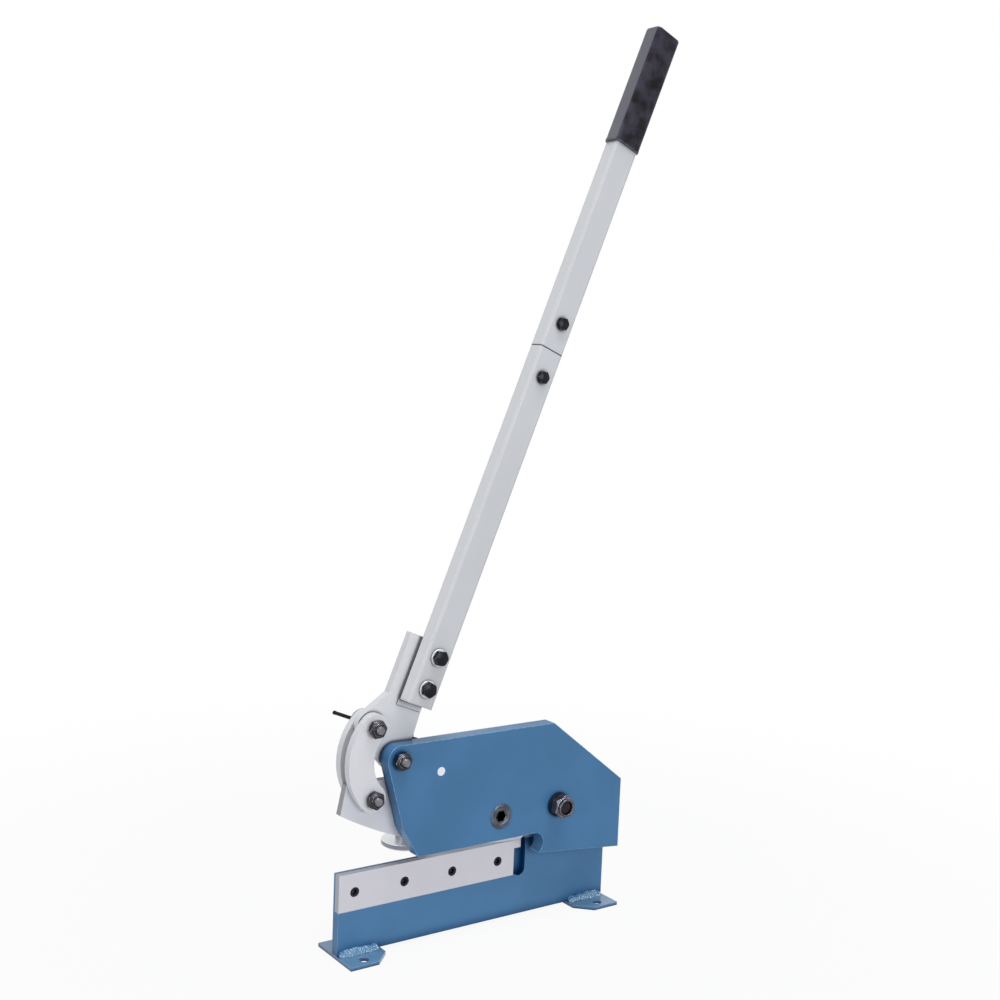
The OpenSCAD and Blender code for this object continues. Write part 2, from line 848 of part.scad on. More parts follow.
module lever_tube_upper() {
  color("whitesmoke")
    tube_piece(seam_s + seat_gap, upper_tube_l - seat_gap, [seam_s + splice_offset], [splice_d]);
}

module splice_bar() {
  bar_w = tube_w - 2 * tube_wall - 2 * splice_gap;
  bar_depth = tube_d - 2 * tube_wall - 2 * splice_gap;
  color("gray") in_lever() difference() {
    translate([tube_w0 - bar_w / 2, y_tube_mid - bar_depth / 2, seam_s - splice_l / 2])
      cube([bar_w, bar_depth, splice_l]);
    for (side = [-1, 1])
      pin([tube_w0, seam_s + side * splice_offset], y_tube_front, y_tube_back, splice_d + 2 * bolt_gap);
  }
}

module splice_bolts() {
  end = y_tube_back + (head_h_share + tail_share) * splice_d;
  color("dimgray") in_lever() for (side = [-1, 1])
    front_bolt([tube_w0, seam_s + side * splice_offset], y_tube_front, end, splice_d);
}

module splice_nuts() {
  color("dimgray") in_lever() for (side = [-1, 1])
    back_nut([tube_w0, seam_s + side * splice_offset], y_tube_back, splice_d);
}

module head_bolts() {
  head = y_tube_front - washer_t_share * head_bolt_d;
  end = y_arm_back + (head_h_share + tail_share) * head_bolt_d;
  color("dimgray") in_lever() for (s = head_bolt_s) front_bolt([tube_w0, s], head, end, head_bolt_d);
}

module head_washers() {
  color("silver") in_lever() for (s = head_bolt_s)
    washer([tube_w0, s], y_tube_front, head_bolt_d, head_washer_share, washer_t_share);
}

module head_nuts() {
  color("dimgray") in_lever() for (s = head_bolt_s) back_nut([tube_w0, s], y_arm_back, head_bolt_d);
}

module hand_grip() {
  outer_w = tube_w + 2 * grip_gap + 2 * grip_wall;
  outer_d = tube_d + 2 * grip_gap + 2 * grip_wall;
  color("darkslategray") in_lever() translate([tube_w0, y_tube_mid, grip_s]) difference() {
    union() {
      linear_extrude(height = grip_l) round_rect(outer_w, outer_d, grip_corner_r);
      linear_extrude(height = grip_lip)
        round_rect(outer_w + 2 * grip_lip_t, outer_d + 2 * grip_lip_t, grip_corner_r + grip_lip_t);
    }
    translate([0, 0, -over]) linear_extrude(height = grip_l - grip_cap + over)
      round_rect(tube_w + 2 * grip_gap, tube_d + 2 * grip_gap, tube_corner_r);
  }
}

// Hold-down

// Moves children drawn around the origin to the spindle axis
module at_spindle() {
  translate([hold_x - base_l / 2, hold_y, 0]) children();
}

module hold_down_block() {
  depth = hold_y - y_base_back + spindle_d / 2 + block_wall;
  color("steelblue") difference() {
    translate([hold_x - base_l / 2 - block_w / 2, y_base_back, block_z]) linear_extrude(height = block_h)
      polygon([
        [0, 0], [block_w, 0], [block_w, depth - block_cut], [block_w - block_cut, depth],
        [block_cut, depth], [0, depth - block_cut]
      ]);
    at_spindle() translate([0, 0, block_z - over])
      cylinder(h = block_h + 2 * over, d = spindle_d + 2 * spindle_gap);
  }
}

module hold_down_foot() {
  r = hold_foot_d / 2;
  color("lightgray") at_spindle() translate([0, 0, hold_z]) difference() {
    rotate_extrude() polygon([
      [0, 0], [r - foot_edge, 0], [r, foot_edge], [r, hold_foot_t - foot_edge / 2],
      [r - foot_edge / 2, hold_foot_t], [foot_boss_d / 2, hold_foot_t],
      [foot_boss_d / 2, hold_foot_t + foot_boss_h], [0, hold_foot_t + foot_boss_h]
    ]);
    translate([0, 0, foot_floor])
      cylinder(h = hold_foot_t + foot_boss_h, d = spindle_d - 2 * spindle_neck + 2 * spindle_gap);
  }
}

module hold_down_spindle() {
  start = hold_z + foot_floor;
  shoulder = hold_z + hold_foot_t + foot_boss_h + spindle_gap;
  head = bar_z - spindle_head_h / 2;
  color("dimgray") at_spindle() difference() {
    union() {
      translate([0, 0, start]) cylinder(h = shoulder - start, d = spindle_d - 2 * spindle_neck);
      translate([0, 0, shoulder]) cylinder(h = head + spindle_head_h - shoulder, d = spindle_d);
    }
    translate([0, 0, bar_z]) rotate([0, 0, bar_turn]) rotate([0, 90, 0])
      cylinder(h = spindle_d + 2 * over, d = bar_d + 2 * bar_gap, center = true);
  }
}

module tommy_bar() {
  cap_r = bar_cap_r_share * bar_d;
  color("black") at_spindle() translate([0, 0, bar_z]) rotate([0, 0, bar_turn]) rotate([0, 90, 0]) {
    translate([0, 0, -bar_front]) cylinder(h = bar_l, d = bar_d);
    translate([0, 0, -bar_front]) cylinder(h = bar_cap_l, r = cap_r);
    translate([0, 0, bar_l - bar_front - bar_cap_l]) cylinder(h = bar_cap_l, r = cap_r);
  }
}

base_plate();
foot_left();
foot_right();
foot_welds();
front_cheek();
spacer_plate();
cheek_weld();
lower_blade();
lower_blade_screws();
lower_blade_nuts();
arm_stop_pin();
arm_guide_screw();
main_pivot_bolt();
main_pivot_sleeve();
main_pivot_washers();
main_pivot_nut();
lever_pivot_bolt();
lever_pivot_sleeve();
lever_pivot_washers();
lever_pivot_nut();
cutter_arm();
upper_blade();
upper_blade_screws();
link_front();
link_rear();
link_bolts();
link_washers();
link_nuts();
lever_head();
lever_tube_lower();
lever_tube_upper();
splice_bar();
splice_bolts();
splice_nuts();
head_bolts();
head_washers();
head_nuts();
hand_grip();
hold_down_block();
hold_down_foot();
hold_down_spindle();
tommy_bar();
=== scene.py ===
"""Looks of a bench lever shear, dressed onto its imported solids: paint, steel, fasteners, beads and grip.

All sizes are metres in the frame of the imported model: X along the blades, Y to the back, Z up.
"""

import logging
import math
from collections.abc import Sequence
from dataclasses import dataclass, field, replace
from enum import Enum
from functools import cache

import bpy
import numpy as np
from mathutils import Matrix, Vector


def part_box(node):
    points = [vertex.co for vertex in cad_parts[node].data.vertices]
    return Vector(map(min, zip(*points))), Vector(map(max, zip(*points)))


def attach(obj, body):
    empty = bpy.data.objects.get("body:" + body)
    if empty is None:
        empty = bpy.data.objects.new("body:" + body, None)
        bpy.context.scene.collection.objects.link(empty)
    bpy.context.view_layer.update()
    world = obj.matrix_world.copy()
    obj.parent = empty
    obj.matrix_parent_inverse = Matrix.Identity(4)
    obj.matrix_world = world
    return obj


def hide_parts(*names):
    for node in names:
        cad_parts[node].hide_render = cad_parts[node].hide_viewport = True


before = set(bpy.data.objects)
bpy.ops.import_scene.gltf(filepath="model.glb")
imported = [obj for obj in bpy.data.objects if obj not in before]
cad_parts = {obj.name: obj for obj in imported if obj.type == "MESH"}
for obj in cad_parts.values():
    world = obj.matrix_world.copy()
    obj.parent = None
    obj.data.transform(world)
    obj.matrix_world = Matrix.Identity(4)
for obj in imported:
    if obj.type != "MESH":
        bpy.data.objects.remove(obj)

LOG = logging.getLogger("bench_shear")
MM = 0.001
FULL_TURN = 2.0 * math.pi
QUARTER_TURN = math.pi / 2

Colour = tuple[float, float, float]
Place = tuple[float, float, float]
Span = tuple[float, float]
Socket = bpy.types.NodeSocket
Inputs = dict[str | int, object]
Radius = float | np.ndarray


class Axis(Enum):
    """The row axis that a rim or a grinding direction lies along."""

    X = 0
    Y = 1
    Z = 2


@dataclass(frozen=True)
class Finish:
    """A surface finish, as the numbers that its material is made from.

    Grain and smudges are in cells per metre, and the edge's radius and the corner shade's reach in mm.
    Smudges darken the colour and dull the gloss. The edge colour shows in patches along edges: partly
    abrasion, mostly painted highlights, and on the blade a painted shadow line. The rim's colour shows on
    faces that lie along its axis, such as a plate's cut edges; on some finishes it is painted light and
    shade on the sides. The corner shade is painted shade in corners, recesses and where parts meet, and
    the joint's colour is on the line where the lever's two tubes meet. Brushed is the direction of
    grinding lines.
    """

    name: str
    slot: str
    colour: Colour
    roughness: float
    metallic: float = 0.0
    coat: float = 0.0
    specular: float = 0.5
    grain_scale: float = 700.0
    grain_bump: float = 0.1
    smudge: float = 0.12
    smudge_scale: float = 9.0
    brushed: Axis | None = None
    edge: float = 0.6
    # patchy edge colour: partly abrasion, mostly painted highlights; on the blade a painted shadow line
    edge_wear_and_shading: Colour | None = None
    # faces along the rim axis: cut edges, and on some finishes painted light and shade on the sides
    rim: Colour | None = None
    rim_axis: Axis = Axis.Y
    # painted shade in corners, recesses and where parts meet, from ambient occlusion
    cavity_shade: Colour | None = None
    reach: float = 16.0
    joint: Colour | None = None


# Blue paint. Its light edge colour is a painted highlight, and its corner colour painted shade in recesses.
BLUE_PAINT = Finish("blue_paint", "blue_paint", (0.064, 0.177, 0.338), 0.37, coat=0.12, specular=0.15,
                    grain_scale=420.0, smudge=0.14, edge=1.4, edge_wear_and_shading=(0.25, 0.48, 0.68),
                    cavity_shade=(0.0, 0.04, 0.13), reach=24.0)
# The same blue paint made darker as painted shade on the cheek, with stronger painted highlights on its
# edges.
SHADED_CHEEK_PAINT = replace(BLUE_PAINT, name="shaded_cheek_paint", colour=(0.049, 0.153, 0.303), coat=0.2,
                      edge=1.8, edge_wear_and_shading=(0.3, 0.58, 0.84), reach=9.0)
# The same blue paint made lighter as painted light on the feet's lit tops.
LIT_FOOT_PAINT = replace(BLUE_PAINT, name="lit_foot_paint", colour=(0.115, 0.24, 0.385), coat=0.7, reach=9.0)
# Glossy weld paint; its light edge colour is a painted highlight on the ripples.
BEAD_PAINT = Finish("bead_paint", "blue_paint", (0.06, 0.2, 0.36), 0.17, coat=1.0, grain_scale=260.0,
                    grain_bump=0.6, smudge=0.1, edge=0.5, edge_wear_and_shading=(0.3, 0.55, 0.75))
GREY_PAINT = Finish("grey_paint", "grey_paint", (0.59, 0.595, 0.62), 0.42, coat=0.2, grain_scale=420.0,
                    smudge=0.06, edge=0.9)
# Grey paint whose corner colour is a painted contact shadow where the tube and bolts sit on the head.
HEAD_PAINT = replace(GREY_PAINT, name="head_paint", colour=(0.57, 0.575, 0.6), cavity_shade=(0.05, 0.05, 0.055),
                     reach=6.0)
# The grey paint darker on the tube's front and lighter on its sides as painted light, with painted contact
# shadow in corners and a dark line where the tubes meet.
SIDE_LIT_TUBE_PAINT = replace(GREY_PAINT, name="side_lit_tube_paint", colour=(0.475, 0.482, 0.505), coat=0.05,
                     grain_bump=0.08, smudge=0.05, edge=4.0, rim=(0.57, 0.575, 0.59),
                     cavity_shade=(0.03, 0.03, 0.035), reach=7.0, joint=(0.02, 0.02, 0.025))
ARM_PAINT = replace(GREY_PAINT, name="arm_paint", colour=(0.55, 0.555, 0.6), edge=0.7,
                    rim=(0.25, 0.25, 0.26))
# Its dark edge colour is a painted shadow line along the blade, and its rim colour paints the end and top
# faces darker and bluer as shade.
BLADE_STEEL = Finish("blade_steel", "blade_steel", (0.57, 0.56, 0.61), 0.4, metallic=0.55,
                     grain_scale=900.0, grain_bump=0.08, brushed=Axis.X, edge=0.7,
                     edge_wear_and_shading=(0.1, 0.12, 0.18), rim=(0.34, 0.355, 0.41))
ZINC_STEEL = Finish("zinc_steel", "zinc_steel", (0.7, 0.72, 0.77), 0.36, metallic=0.5,
                    grain_scale=1300.0, smudge=0.1, edge=0.3)
# Its dark rim colour on the turned side is a painted reflection of a darker surround below the bright top.
PAD_STEEL = replace(ZINC_STEEL, name="pad_steel", colour=(0.9, 0.91, 0.93), edge=0.5,
                    rim=(0.27, 0.28, 0.32), rim_axis=Axis.Z)
# Its light edge colour is mostly painted highlights on the hexagons' edges, also in the dark nut copied from
# it.
NUT_STEEL = Finish("nut_steel", "zinc_steel", (0.14, 0.125, 0.155), 0.18, metallic=0.8, grain_scale=1300.0,
                   smudge=0.6, smudge_scale=90.0, edge=1.0, edge_wear_and_shading=(0.72, 0.7, 0.74))
DARK_NUT = replace(NUT_STEEL, name="dark_nut", slot="black_steel", colour=(0.06, 0.058, 0.07),
                   edge=0.8)
# Its near-white edge colour is a painted highlight on the chamfer, and its black corner colour painted shade
# in the socket.
GUIDE_STEEL = replace(NUT_STEEL, name="guide_steel", colour=(0.11, 0.125, 0.17), roughness=0.37,
                      edge=1.5, edge_wear_and_shading=(0.9, 0.9, 0.93), cavity_shade=(0.0, 0.0, 0.0), reach=30.0)
# Its light edge colour is a painted highlight on the bolts' edges.
BOLT_STEEL = Finish("bolt_steel", "black_steel", (0.19, 0.185, 0.22), 0.37, metallic=0.6,
                    grain_scale=1500.0, smudge=0.4, smudge_scale=90.0, edge=0.4,
                    edge_wear_and_shading=(0.45, 0.45, 0.48))
BLACK_STEEL = Finish("black_steel", "black_steel", (0.012, 0.012, 0.018), 0.18, metallic=0.3,
                     specular=0.25, grain_scale=1500.0, smudge=0.5, smudge_scale=90.0)
DULL_BLACK = replace(BLACK_STEEL, name="dull_black", roughness=0.6, metallic=0.0, specular=0.1)
# Its light edge colour is a painted highlight on the heads' edges.
BLACK_HEAD = replace(BLACK_STEEL, name="black_head", metallic=0.1, specular=0.12, edge=0.9,
                     edge_wear_and_shading=(0.5, 0.5, 0.54))
BRONZE = Finish("bronze", "bronze", (0.45, 0.29, 0.12), 0.4, metallic=0.9, grain_scale=1200.0)
# Its light edge colour is a painted highlight on the rounded corners, and its lighter rim colour painted
# sheen on the grip's sides.
GRIP_RUBBER = Finish("grip_rubber", "grip_rubber", (0.034, 0.03, 0.046), 0.37, specular=0.08,
                     coat=0.1, grain_scale=1500.0, grain_bump=0.2, smudge=0.95, smudge_scale=42.0,
                     edge=5.0, edge_wear_and_shading=(0.2, 0.2, 0.22), rim=(0.115, 0.113, 0.135))

NODE_FINISHES = {
    BLUE_PAINT: ("base_plate", "spacer_plate", "hold_down_block"),
    SHADED_CHEEK_PAINT: ("front_cheek",),
    LIT_FOOT_PAINT: ("foot_left", "foot_right"),
    GREY_PAINT: ("link_front", "link_rear"),
    HEAD_PAINT: ("lever_head",),
    SIDE_LIT_TUBE_PAINT: ("lever_tube_lower", "lever_tube_upper"),
    ARM_PAINT: ("cutter_arm",),
    BLADE_STEEL: ("lower_blade", "upper_blade"),
    ZINC_STEEL: ("arm_stop_pin", "splice_bar"),
    PAD_STEEL: ("hold_down_foot",),
    BLACK_STEEL: ("upper_blade_screws",),
    BRONZE: ("main_pivot_sleeve", "lever_pivot_sleeve"),
}


def put_in_scene(name: str, data: bpy.types.ID) -> bpy.types.Object:
    """Makes an object from its data and links it to the scene.

    Args:
        name: Its name.
        data: Its mesh, light or camera.

    Returns:
        The new object.
    """
    piece = bpy.data.objects.new(name, data)
    bpy.context.scene.collection.objects.link(piece)
    return piece


@dataclass
class NodeGraph:
    """A node tree with short helpers for adding nodes and links."""

    tree: bpy.types.NodeTree

    def feed(self, node: bpy.types.Node, inputs: Inputs) -> None:
        """Sets or links inputs of a node.

        Args:
            node: The node.
            inputs: For each input's name or index, its constant or the socket that drives it.
        """
        for key, value in inputs.items():
            if isinstance(value, Socket):
                self.tree.links.new(value, node.inputs[key])
            else:
                node.inputs[key].default_value = value

    def add(self, kind: str, inputs: Inputs | None = None, **settings: object) -> bpy.types.Node:
        """Adds a node.

        Args:
            kind: Blender's identifier of the node type.
            inputs: Constants or sockets, as feed takes them.
            **settings: Attributes to set on the node.

        Returns:
            The new node.
        """
        node = self.tree.nodes.new(kind)
        for name, value in settings.items():
            setattr(node, name, value)
        self.feed(node, inputs or {})
        return node

    def find(self, kind: str) -> bpy.types.Node:
        """Gives the node of a type that the tree started with."""
        return next(node for node in self.tree.nodes if node.type == kind)

    def math(self, operation: str, *values: Socket) -> Socket:
        """Adds Blender's operation of this name on one or two numbers and gives its result."""
        return self.add("ShaderNodeMath", dict(enumerate(values)), operation=operation).outputs["Value"]

    def dot(self, first: Socket, second: Socket) -> Socket:
        """Gives the size of the dot product of two vectors."""
        product = self.add("ShaderNodeVectorMath", {0: first, 1: second}, operation="DOT_PRODUCT")
        return self.math("ABSOLUTE", product.outputs["Value"])

    def ramp(self, value: Socket, span: Span, out: Span = (0.0, 1.0)) -> Socket:
        """Maps the span of a value onto the two outputs, smoothly and clamped."""
        inputs = {"Value": value, "From Min": span[0], "From Max": span[1], "To Min": out[0],
                  "To Max": out[1]}
        return self.add("ShaderNodeMapRange", inputs, interpolation_type="SMOOTHSTEP").outputs["Result"]

    def noise(self, vector: Socket, scale: float | Socket, detail: float) -> Socket:
        """Gives a noise of so many cells per unit and octaves of detail."""
        inputs = {"Vector": vector, "Scale": scale, "Detail": detail}
        return self.add("ShaderNodeTexNoise", inputs).outputs["Fac"]

    def stretched(self, vector: Socket, scale: Sequence[float],
                  turn: Sequence[float] = (0.0, 0.0, 0.0)) -> Socket:
        """Gives coordinates turned and scaled along each axis."""
        inputs = {"Vector": vector, "Scale": scale, "Rotation": turn}
        return self.add("ShaderNodeMapping", inputs).outputs["Vector"]

    def tint(self, base: Colour | Socket, over: Colour, share: Socket) -> Socket:
        """Mixes a colour over another one by a mask.

        Args:
            base: The colour below, or its socket.
            over: The colour on top.
            share: The mask.

        Returns:
            The mixed colour's socket.
        """
        node = self.add("ShaderNodeMix", {"Factor": share}, data_type="RGBA")
        below, above = [index for index, socket in enumerate(node.inputs) if socket.type == "RGBA"]
        self.feed(node, {below: (*base, 1.0) if isinstance(base, tuple) else base, above: (*over, 1.0)})
        return next(socket for socket in node.outputs if socket.type == "RGBA")


class MaterialLibrary:
    """Builds each finish's material once, on a shared node group."""

    DETAIL = 3.0
    SMUDGE_SPAN = (0.3, 0.7)
    SCRATCH_STRETCH = (900.0, 900.0, 16.0)
    SCRATCH_TURN = (0.35, 0.6, 0.2)
    SCRATCH_SPAN = (0.72, 0.8)
    BEVEL_SAMPLES = 6
    EDGE_SPAN = (0.97, 0.8)
    EDGE_PATCH_SCALE = 130.0
    EDGE_PATCH_SPAN = (0.34, 0.6)
    EDGE_PATCH_SHARES = (0.35, 1.0)
    RIM_SPAN = (0.3, 0.6)
    SKY_SAMPLES = 8
    CAVITY_SHADE_SPAN = (0.5, 0.97)
    JOINT_SPAN = (0.5 * MM, 1.1 * MM)
    COAT_ROUGHNESS = 0.12
    SMUDGE_SPREAD = 0.5
    LEAST_SPREAD = 0.02
    MOST_SPREAD = 0.08
    LINE_ACROSS = 2600.0
    LINE_ALONG = 22.0
    BUMP_HEIGHT = 0.4 * MM

    def __init__(self) -> None:
        self._wear_and_shading = self._wear_and_shading_group()

    def _wear_and_shading_group(self) -> bpy.types.NodeTree:
        """Makes the shared group of masks for grain, smudges, edges, sides and painted shade in corners.

        Returns:
            The group.
        """
        group = bpy.data.node_groups.new("surface_wear_and_shading", "ShaderNodeTree")
        sockets = (
            ("INPUT", "NodeSocketVector", ("Vector", "Rim Axis")),
            ("INPUT", "NodeSocketFloat", ("Grain Scale", "Smudge Scale", "Edge Radius", "Reach")),
            ("OUTPUT", "NodeSocketFloat", ("Grain", "Smudge", "Scratch", "Edge", "Rim", "Cavity Shade")),
        )
        for way, kind, names in sockets:
            for name in names:
                group.interface.new_socket(name=name, in_out=way, socket_type=kind)
        graph = NodeGraph(group)
        source = graph.add("NodeGroupInput").outputs
        place = source["Vector"]
        smudge = graph.noise(place, source["Smudge Scale"], self.DETAIL)
        scratch = graph.noise(graph.stretched(place, self.SCRATCH_STRETCH, self.SCRATCH_TURN), 1.0, 1.0)
        soft = graph.add("ShaderNodeBevel", {"Radius": source["Edge Radius"]}, samples=self.BEVEL_SAMPLES)
        flat = graph.add("ShaderNodeNewGeometry").outputs["True Normal"]
        turned = graph.ramp(graph.dot(soft.outputs["Normal"], flat), self.EDGE_SPAN)
        patch = graph.ramp(graph.noise(place, self.EDGE_PATCH_SCALE, self.DETAIL), self.EDGE_PATCH_SPAN,
                           self.EDGE_PATCH_SHARES)
        lying = graph.dot(flat, source["Rim Axis"])
        # ambient occlusion, which darkens corners as painted shade
        sky = graph.add("ShaderNodeAmbientOcclusion", {"Distance": source["Reach"]},
                        samples=self.SKY_SAMPLES)
        graph.add("NodeGroupOutput", {
            "Grain": graph.noise(place, source["Grain Scale"], self.DETAIL),
            "Smudge": graph.ramp(smudge, self.SMUDGE_SPAN),
            "Scratch": graph.ramp(scratch, self.SCRATCH_SPAN),
            "Edge": graph.math("MULTIPLY", turned, patch),
            "Rim": graph.ramp(lying, self.RIM_SPAN, (1.0, 0.0)),
            "Cavity Shade": graph.ramp(sky.outputs["AO"], self.CAVITY_SHADE_SPAN, (1.0, 0.0)),
        })
        return group

    @cache
    def get(self, finish: Finish) -> bpy.types.Material:
        """Makes a finish's material the first time, and gives it.

        Args:
            finish: The finish.

        Returns:
            Its material.
        """
        material = bpy.data.materials.new(finish.name)
        material.use_nodes = True
        graph = NodeGraph(material.node_tree)
        place = graph.add("ShaderNodeTexCoord").outputs["Object"]
        wear_and_shading = graph.add("ShaderNodeGroup", {
            "Vector": place,
            "Rim Axis": [float(axis is finish.rim_axis) for axis in Axis],
            "Grain Scale": finish.grain_scale,
            "Smudge Scale": finish.smudge_scale,
            "Edge Radius": finish.edge * MM,
            "Reach": finish.reach * MM,
        }, node_tree=self._wear_and_shading).outputs

        dark = tuple(part * (1.0 - finish.smudge) for part in finish.colour)
        colour = graph.tint(finish.colour, dark, wear_and_shading["Smudge"])
        # rim colour, edge colour (painted highlights, partly abrasion) and painted corner shade over the
        # smudges
        for over, mask in ((finish.rim, "Rim"), (finish.edge_wear_and_shading, "Edge"), (finish.cavity_shade, "Cavity Shade")):
            if over is not None:
                colour = graph.tint(colour, over, wear_and_shading[mask])
        if finish.joint is not None:
            tilt, joint = Layout.lever_tilt, Layout.on_lever(0.0, Layout.seam_s)
            offset = graph.add("ShaderNodeVectorMath", {0: place, 1: joint}, operation="SUBTRACT")
            along = graph.add("ShaderNodeCombineXYZ", {"X": math.sin(tilt), "Z": math.cos(tilt)})
            away = graph.dot(offset.outputs["Vector"], along.outputs["Vector"])
            colour = graph.tint(colour, finish.joint, graph.ramp(away, self.JOINT_SPAN, (1.0, 0.0)))

        spread = min(self.SMUDGE_SPREAD * finish.smudge + self.LEAST_SPREAD, self.MOST_SPREAD)
        rough = (finish.roughness - spread, finish.roughness + spread)
        gloss = graph.math("MAXIMUM", graph.ramp(wear_and_shading["Smudge"], (0.0, 1.0), rough),
                           graph.ramp(wear_and_shading["Scratch"], (0.0, 1.0), (0.0, rough[1])))

        height = wear_and_shading["Grain"]
        if finish.brushed is not None:
            scale = [self.LINE_ALONG if axis is finish.brushed else self.LINE_ACROSS for axis in Axis]
            height = graph.noise(graph.stretched(place, scale), 1.0, 2.0)
        edge = graph.add("ShaderNodeBevel", {"Radius": finish.edge * MM}, samples=self.BEVEL_SAMPLES)
        bump = graph.add("ShaderNodeBump", {"Strength": finish.grain_bump, "Distance": self.BUMP_HEIGHT,
                                            "Height": height, "Normal": edge.outputs["Normal"]})
        graph.feed(graph.find("BSDF_PRINCIPLED"), {
            "Base Color": colour,
            "Roughness": gloss,
            "Metallic": finish.metallic,
            "Specular IOR Level": finish.specular,
            "Coat Weight": finish.coat,
            "Coat Roughness": self.COAT_ROUGHNESS,
            "Normal": bump.outputs["Normal"],
        })
        return material


@dataclass
class MeshMaker:
    """Makes meshes from grids of points and puts them on a body of the frame."""

    library: MaterialLibrary
    pieces: list[bpy.types.Object] = field(default_factory=list)

    SHARP_ANGLE = math.radians(32.0)

    def stand_in(self, node: str, way: str, sweeps: Sequence[np.ndarray], finish: Finish,
                 body: str = "frame") -> None:
        """Makes the piece that stands for a node, from closed sweeps.

        Args:
            node: The node.
            way: How the piece is made, which is added to the node's name.
            sweeps: For each shell, an array (rings, points around, 3).
            finish: Its finish.
            body: The body that it moves with.
        """
        name = f"{node}_{way}"
        faces: list[list[int]] = []
        start = 0
        for sweep in sweeps:
            faces += self._faces(start, *sweep.shape[:2])
            start += sweep.shape[0] * sweep.shape[1]
        mesh = bpy.data.meshes.new(name)
        mesh.from_pydata(np.vstack([sweep.reshape(-1, 3) for sweep in sweeps]).tolist(), [], faces)
        mesh.validate()
        mesh.shade_smooth()
        mesh.set_sharp_from_angle(angle=self.SHARP_ANGLE)
        mesh.materials.append(self.library.get(finish))
        piece = put_in_scene(name, mesh)
        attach(piece, body)
        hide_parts(node)
        self.pieces.append(piece)

    @staticmethod
    def _faces(start: int, rings: int, around: int) -> list[list[int]]:
        """Works out the faces of one closed sweep.

        A side face joins a point, the next one around, and the same two of the next ring. One face
        closes each end.

        Args:
            start: Number of the sweep's first point.
            rings: Its rings.
            around: Points of each ring.

        Returns:
            For each face, the numbers of its points.
        """
        here = start + np.arange(rings * around).reshape(rings, around)
        after = np.roll(here, -1, axis=1)
        sides = np.stack([here[:-1], after[:-1], after[1:], here[1:]], axis=-1)
        return [*sides.reshape(-1, 4).tolist(), here[0, ::-1].tolist(), here[-1].tolist()]


@dataclass
class Turned:
    """A turned or hexagonal solid, as radii along an axis.

    Attributes:
        origin: A point on the axis.
        direction: Unit vector along the axis.
        rings: Pairs of a distance along the axis and a radius, or a radius for each angle.
        around: Points around the axis.
        phase: Angle of the first point, from the reference direction.
    """

    origin: Vector
    direction: Vector
    rings: list[tuple[Radius, Radius]] = field(default_factory=list)
    around: int = 72
    phase: float = 0.0

    SIXTH = FULL_TURN / 6
    CHAMFER_SLOPE = math.tan(math.radians(60.0))
    CHAMFER_RINGS = 6
    FACE_SHARE = 0.47
    THREAD_DEPTH = 0.54
    THREAD_END = 1.6
    RINGS_PER_PITCH = 8

    def angles(self) -> np.ndarray:
        """Gives the angle of each point around the axis, in radians."""
        return np.arange(self.around) / self.around * FULL_TURN

    def hexagon(self, across: float) -> np.ndarray:
        """Gives a hexagon's radii: half its width across flats over the cosine from a flat's middle."""
        turn = np.mod(self.angles(), self.SIXTH) - self.SIXTH / 2
        return across / 2 / np.cos(turn)

    def hex_prism(self, low: float, high: float, across: float, both_ends: bool = True) -> None:
        """Adds the rings of a hexagonal head or nut with corners turned off by a 60 degree cone.

        Args:
            low: Start along the axis, where the corners are turned off.
            high: End along the axis.
            across: Width across flats.
            both_ends: Whether the corners are turned off at the end too.
        """
        flats = self.hexagon(across)
        face = self.FACE_SHARE * across
        steps = np.linspace(0.0, (flats.max() - face) / self.CHAMFER_SLOPE, self.CHAMFER_RINGS)
        cones = [np.minimum(flats, face + step * self.CHAMFER_SLOPE) for step in steps]
        self.rings += zip(low + steps, cones)
        self.rings += list(zip(high - steps, cones))[::-1] if both_ends else [(high, flats)]

    def wave(self, places: np.ndarray, pitch: float) -> np.ndarray:
        """Gives each point's depth in a thread's groove, a zigzag from 0 to 1 along a pitch or a turn."""
        turn = self.angles() / FULL_TURN
        return np.abs(np.mod(places[:, None] / pitch - turn, 1.0) * 2.0 - 1.0)

    def thread(self, low: float, high: float, radius: float, pitch: float) -> None:
        """Adds a threaded length whose groove runs out before a chamfered end.

        Args:
            low: Start along the axis.
            high: End along the axis.
            radius: Outer radius of the thread.
            pitch: Pitch of the thread.
        """
        depth = self.THREAD_DEPTH * pitch
        count = max(4, round((high - low) / pitch * self.RINGS_PER_PITCH))
        places = np.linspace(low, high - depth, count)
        fade = np.clip((high - depth - places) / pitch, 0.0, 1.0)[:, None]
        self.rings += zip(places, radius - depth * (1.0 - fade * (1.0 - self.wave(places, pitch))))
        self.rings.append((high, radius - self.THREAD_END * depth))

    def sweep(self) -> np.ndarray:
        """Works out the points: the origin, plus the distance along the axis, plus the radius outwards.

        Returns:
            Array (rings, points around, 3) in the row frame.
        """
        along = np.array(self.direction, float)
        side = np.array((1.0, 0.0, 0.0)) if abs(along[0]) < 0.9 else np.array((0.0, 0.0, 1.0))
        angle = self.angles() + self.phase
        spoke = np.cos(angle)[:, None] * side + np.sin(angle)[:, None] * np.cross(along, side)
        far = np.array([np.broadcast_to(place, self.around) for place, _ in self.rings])
        wide = np.array([np.broadcast_to(radius, self.around) for _, radius in self.rings])
        return np.array(self.origin) + far[..., None] * along + wide[..., None] * spoke


@dataclass(frozen=True)
class Thread:
    """A metric thread's diameter and pitch, and the width across the flats of its hexagons."""

    d: float
    pitch: float
    across: float


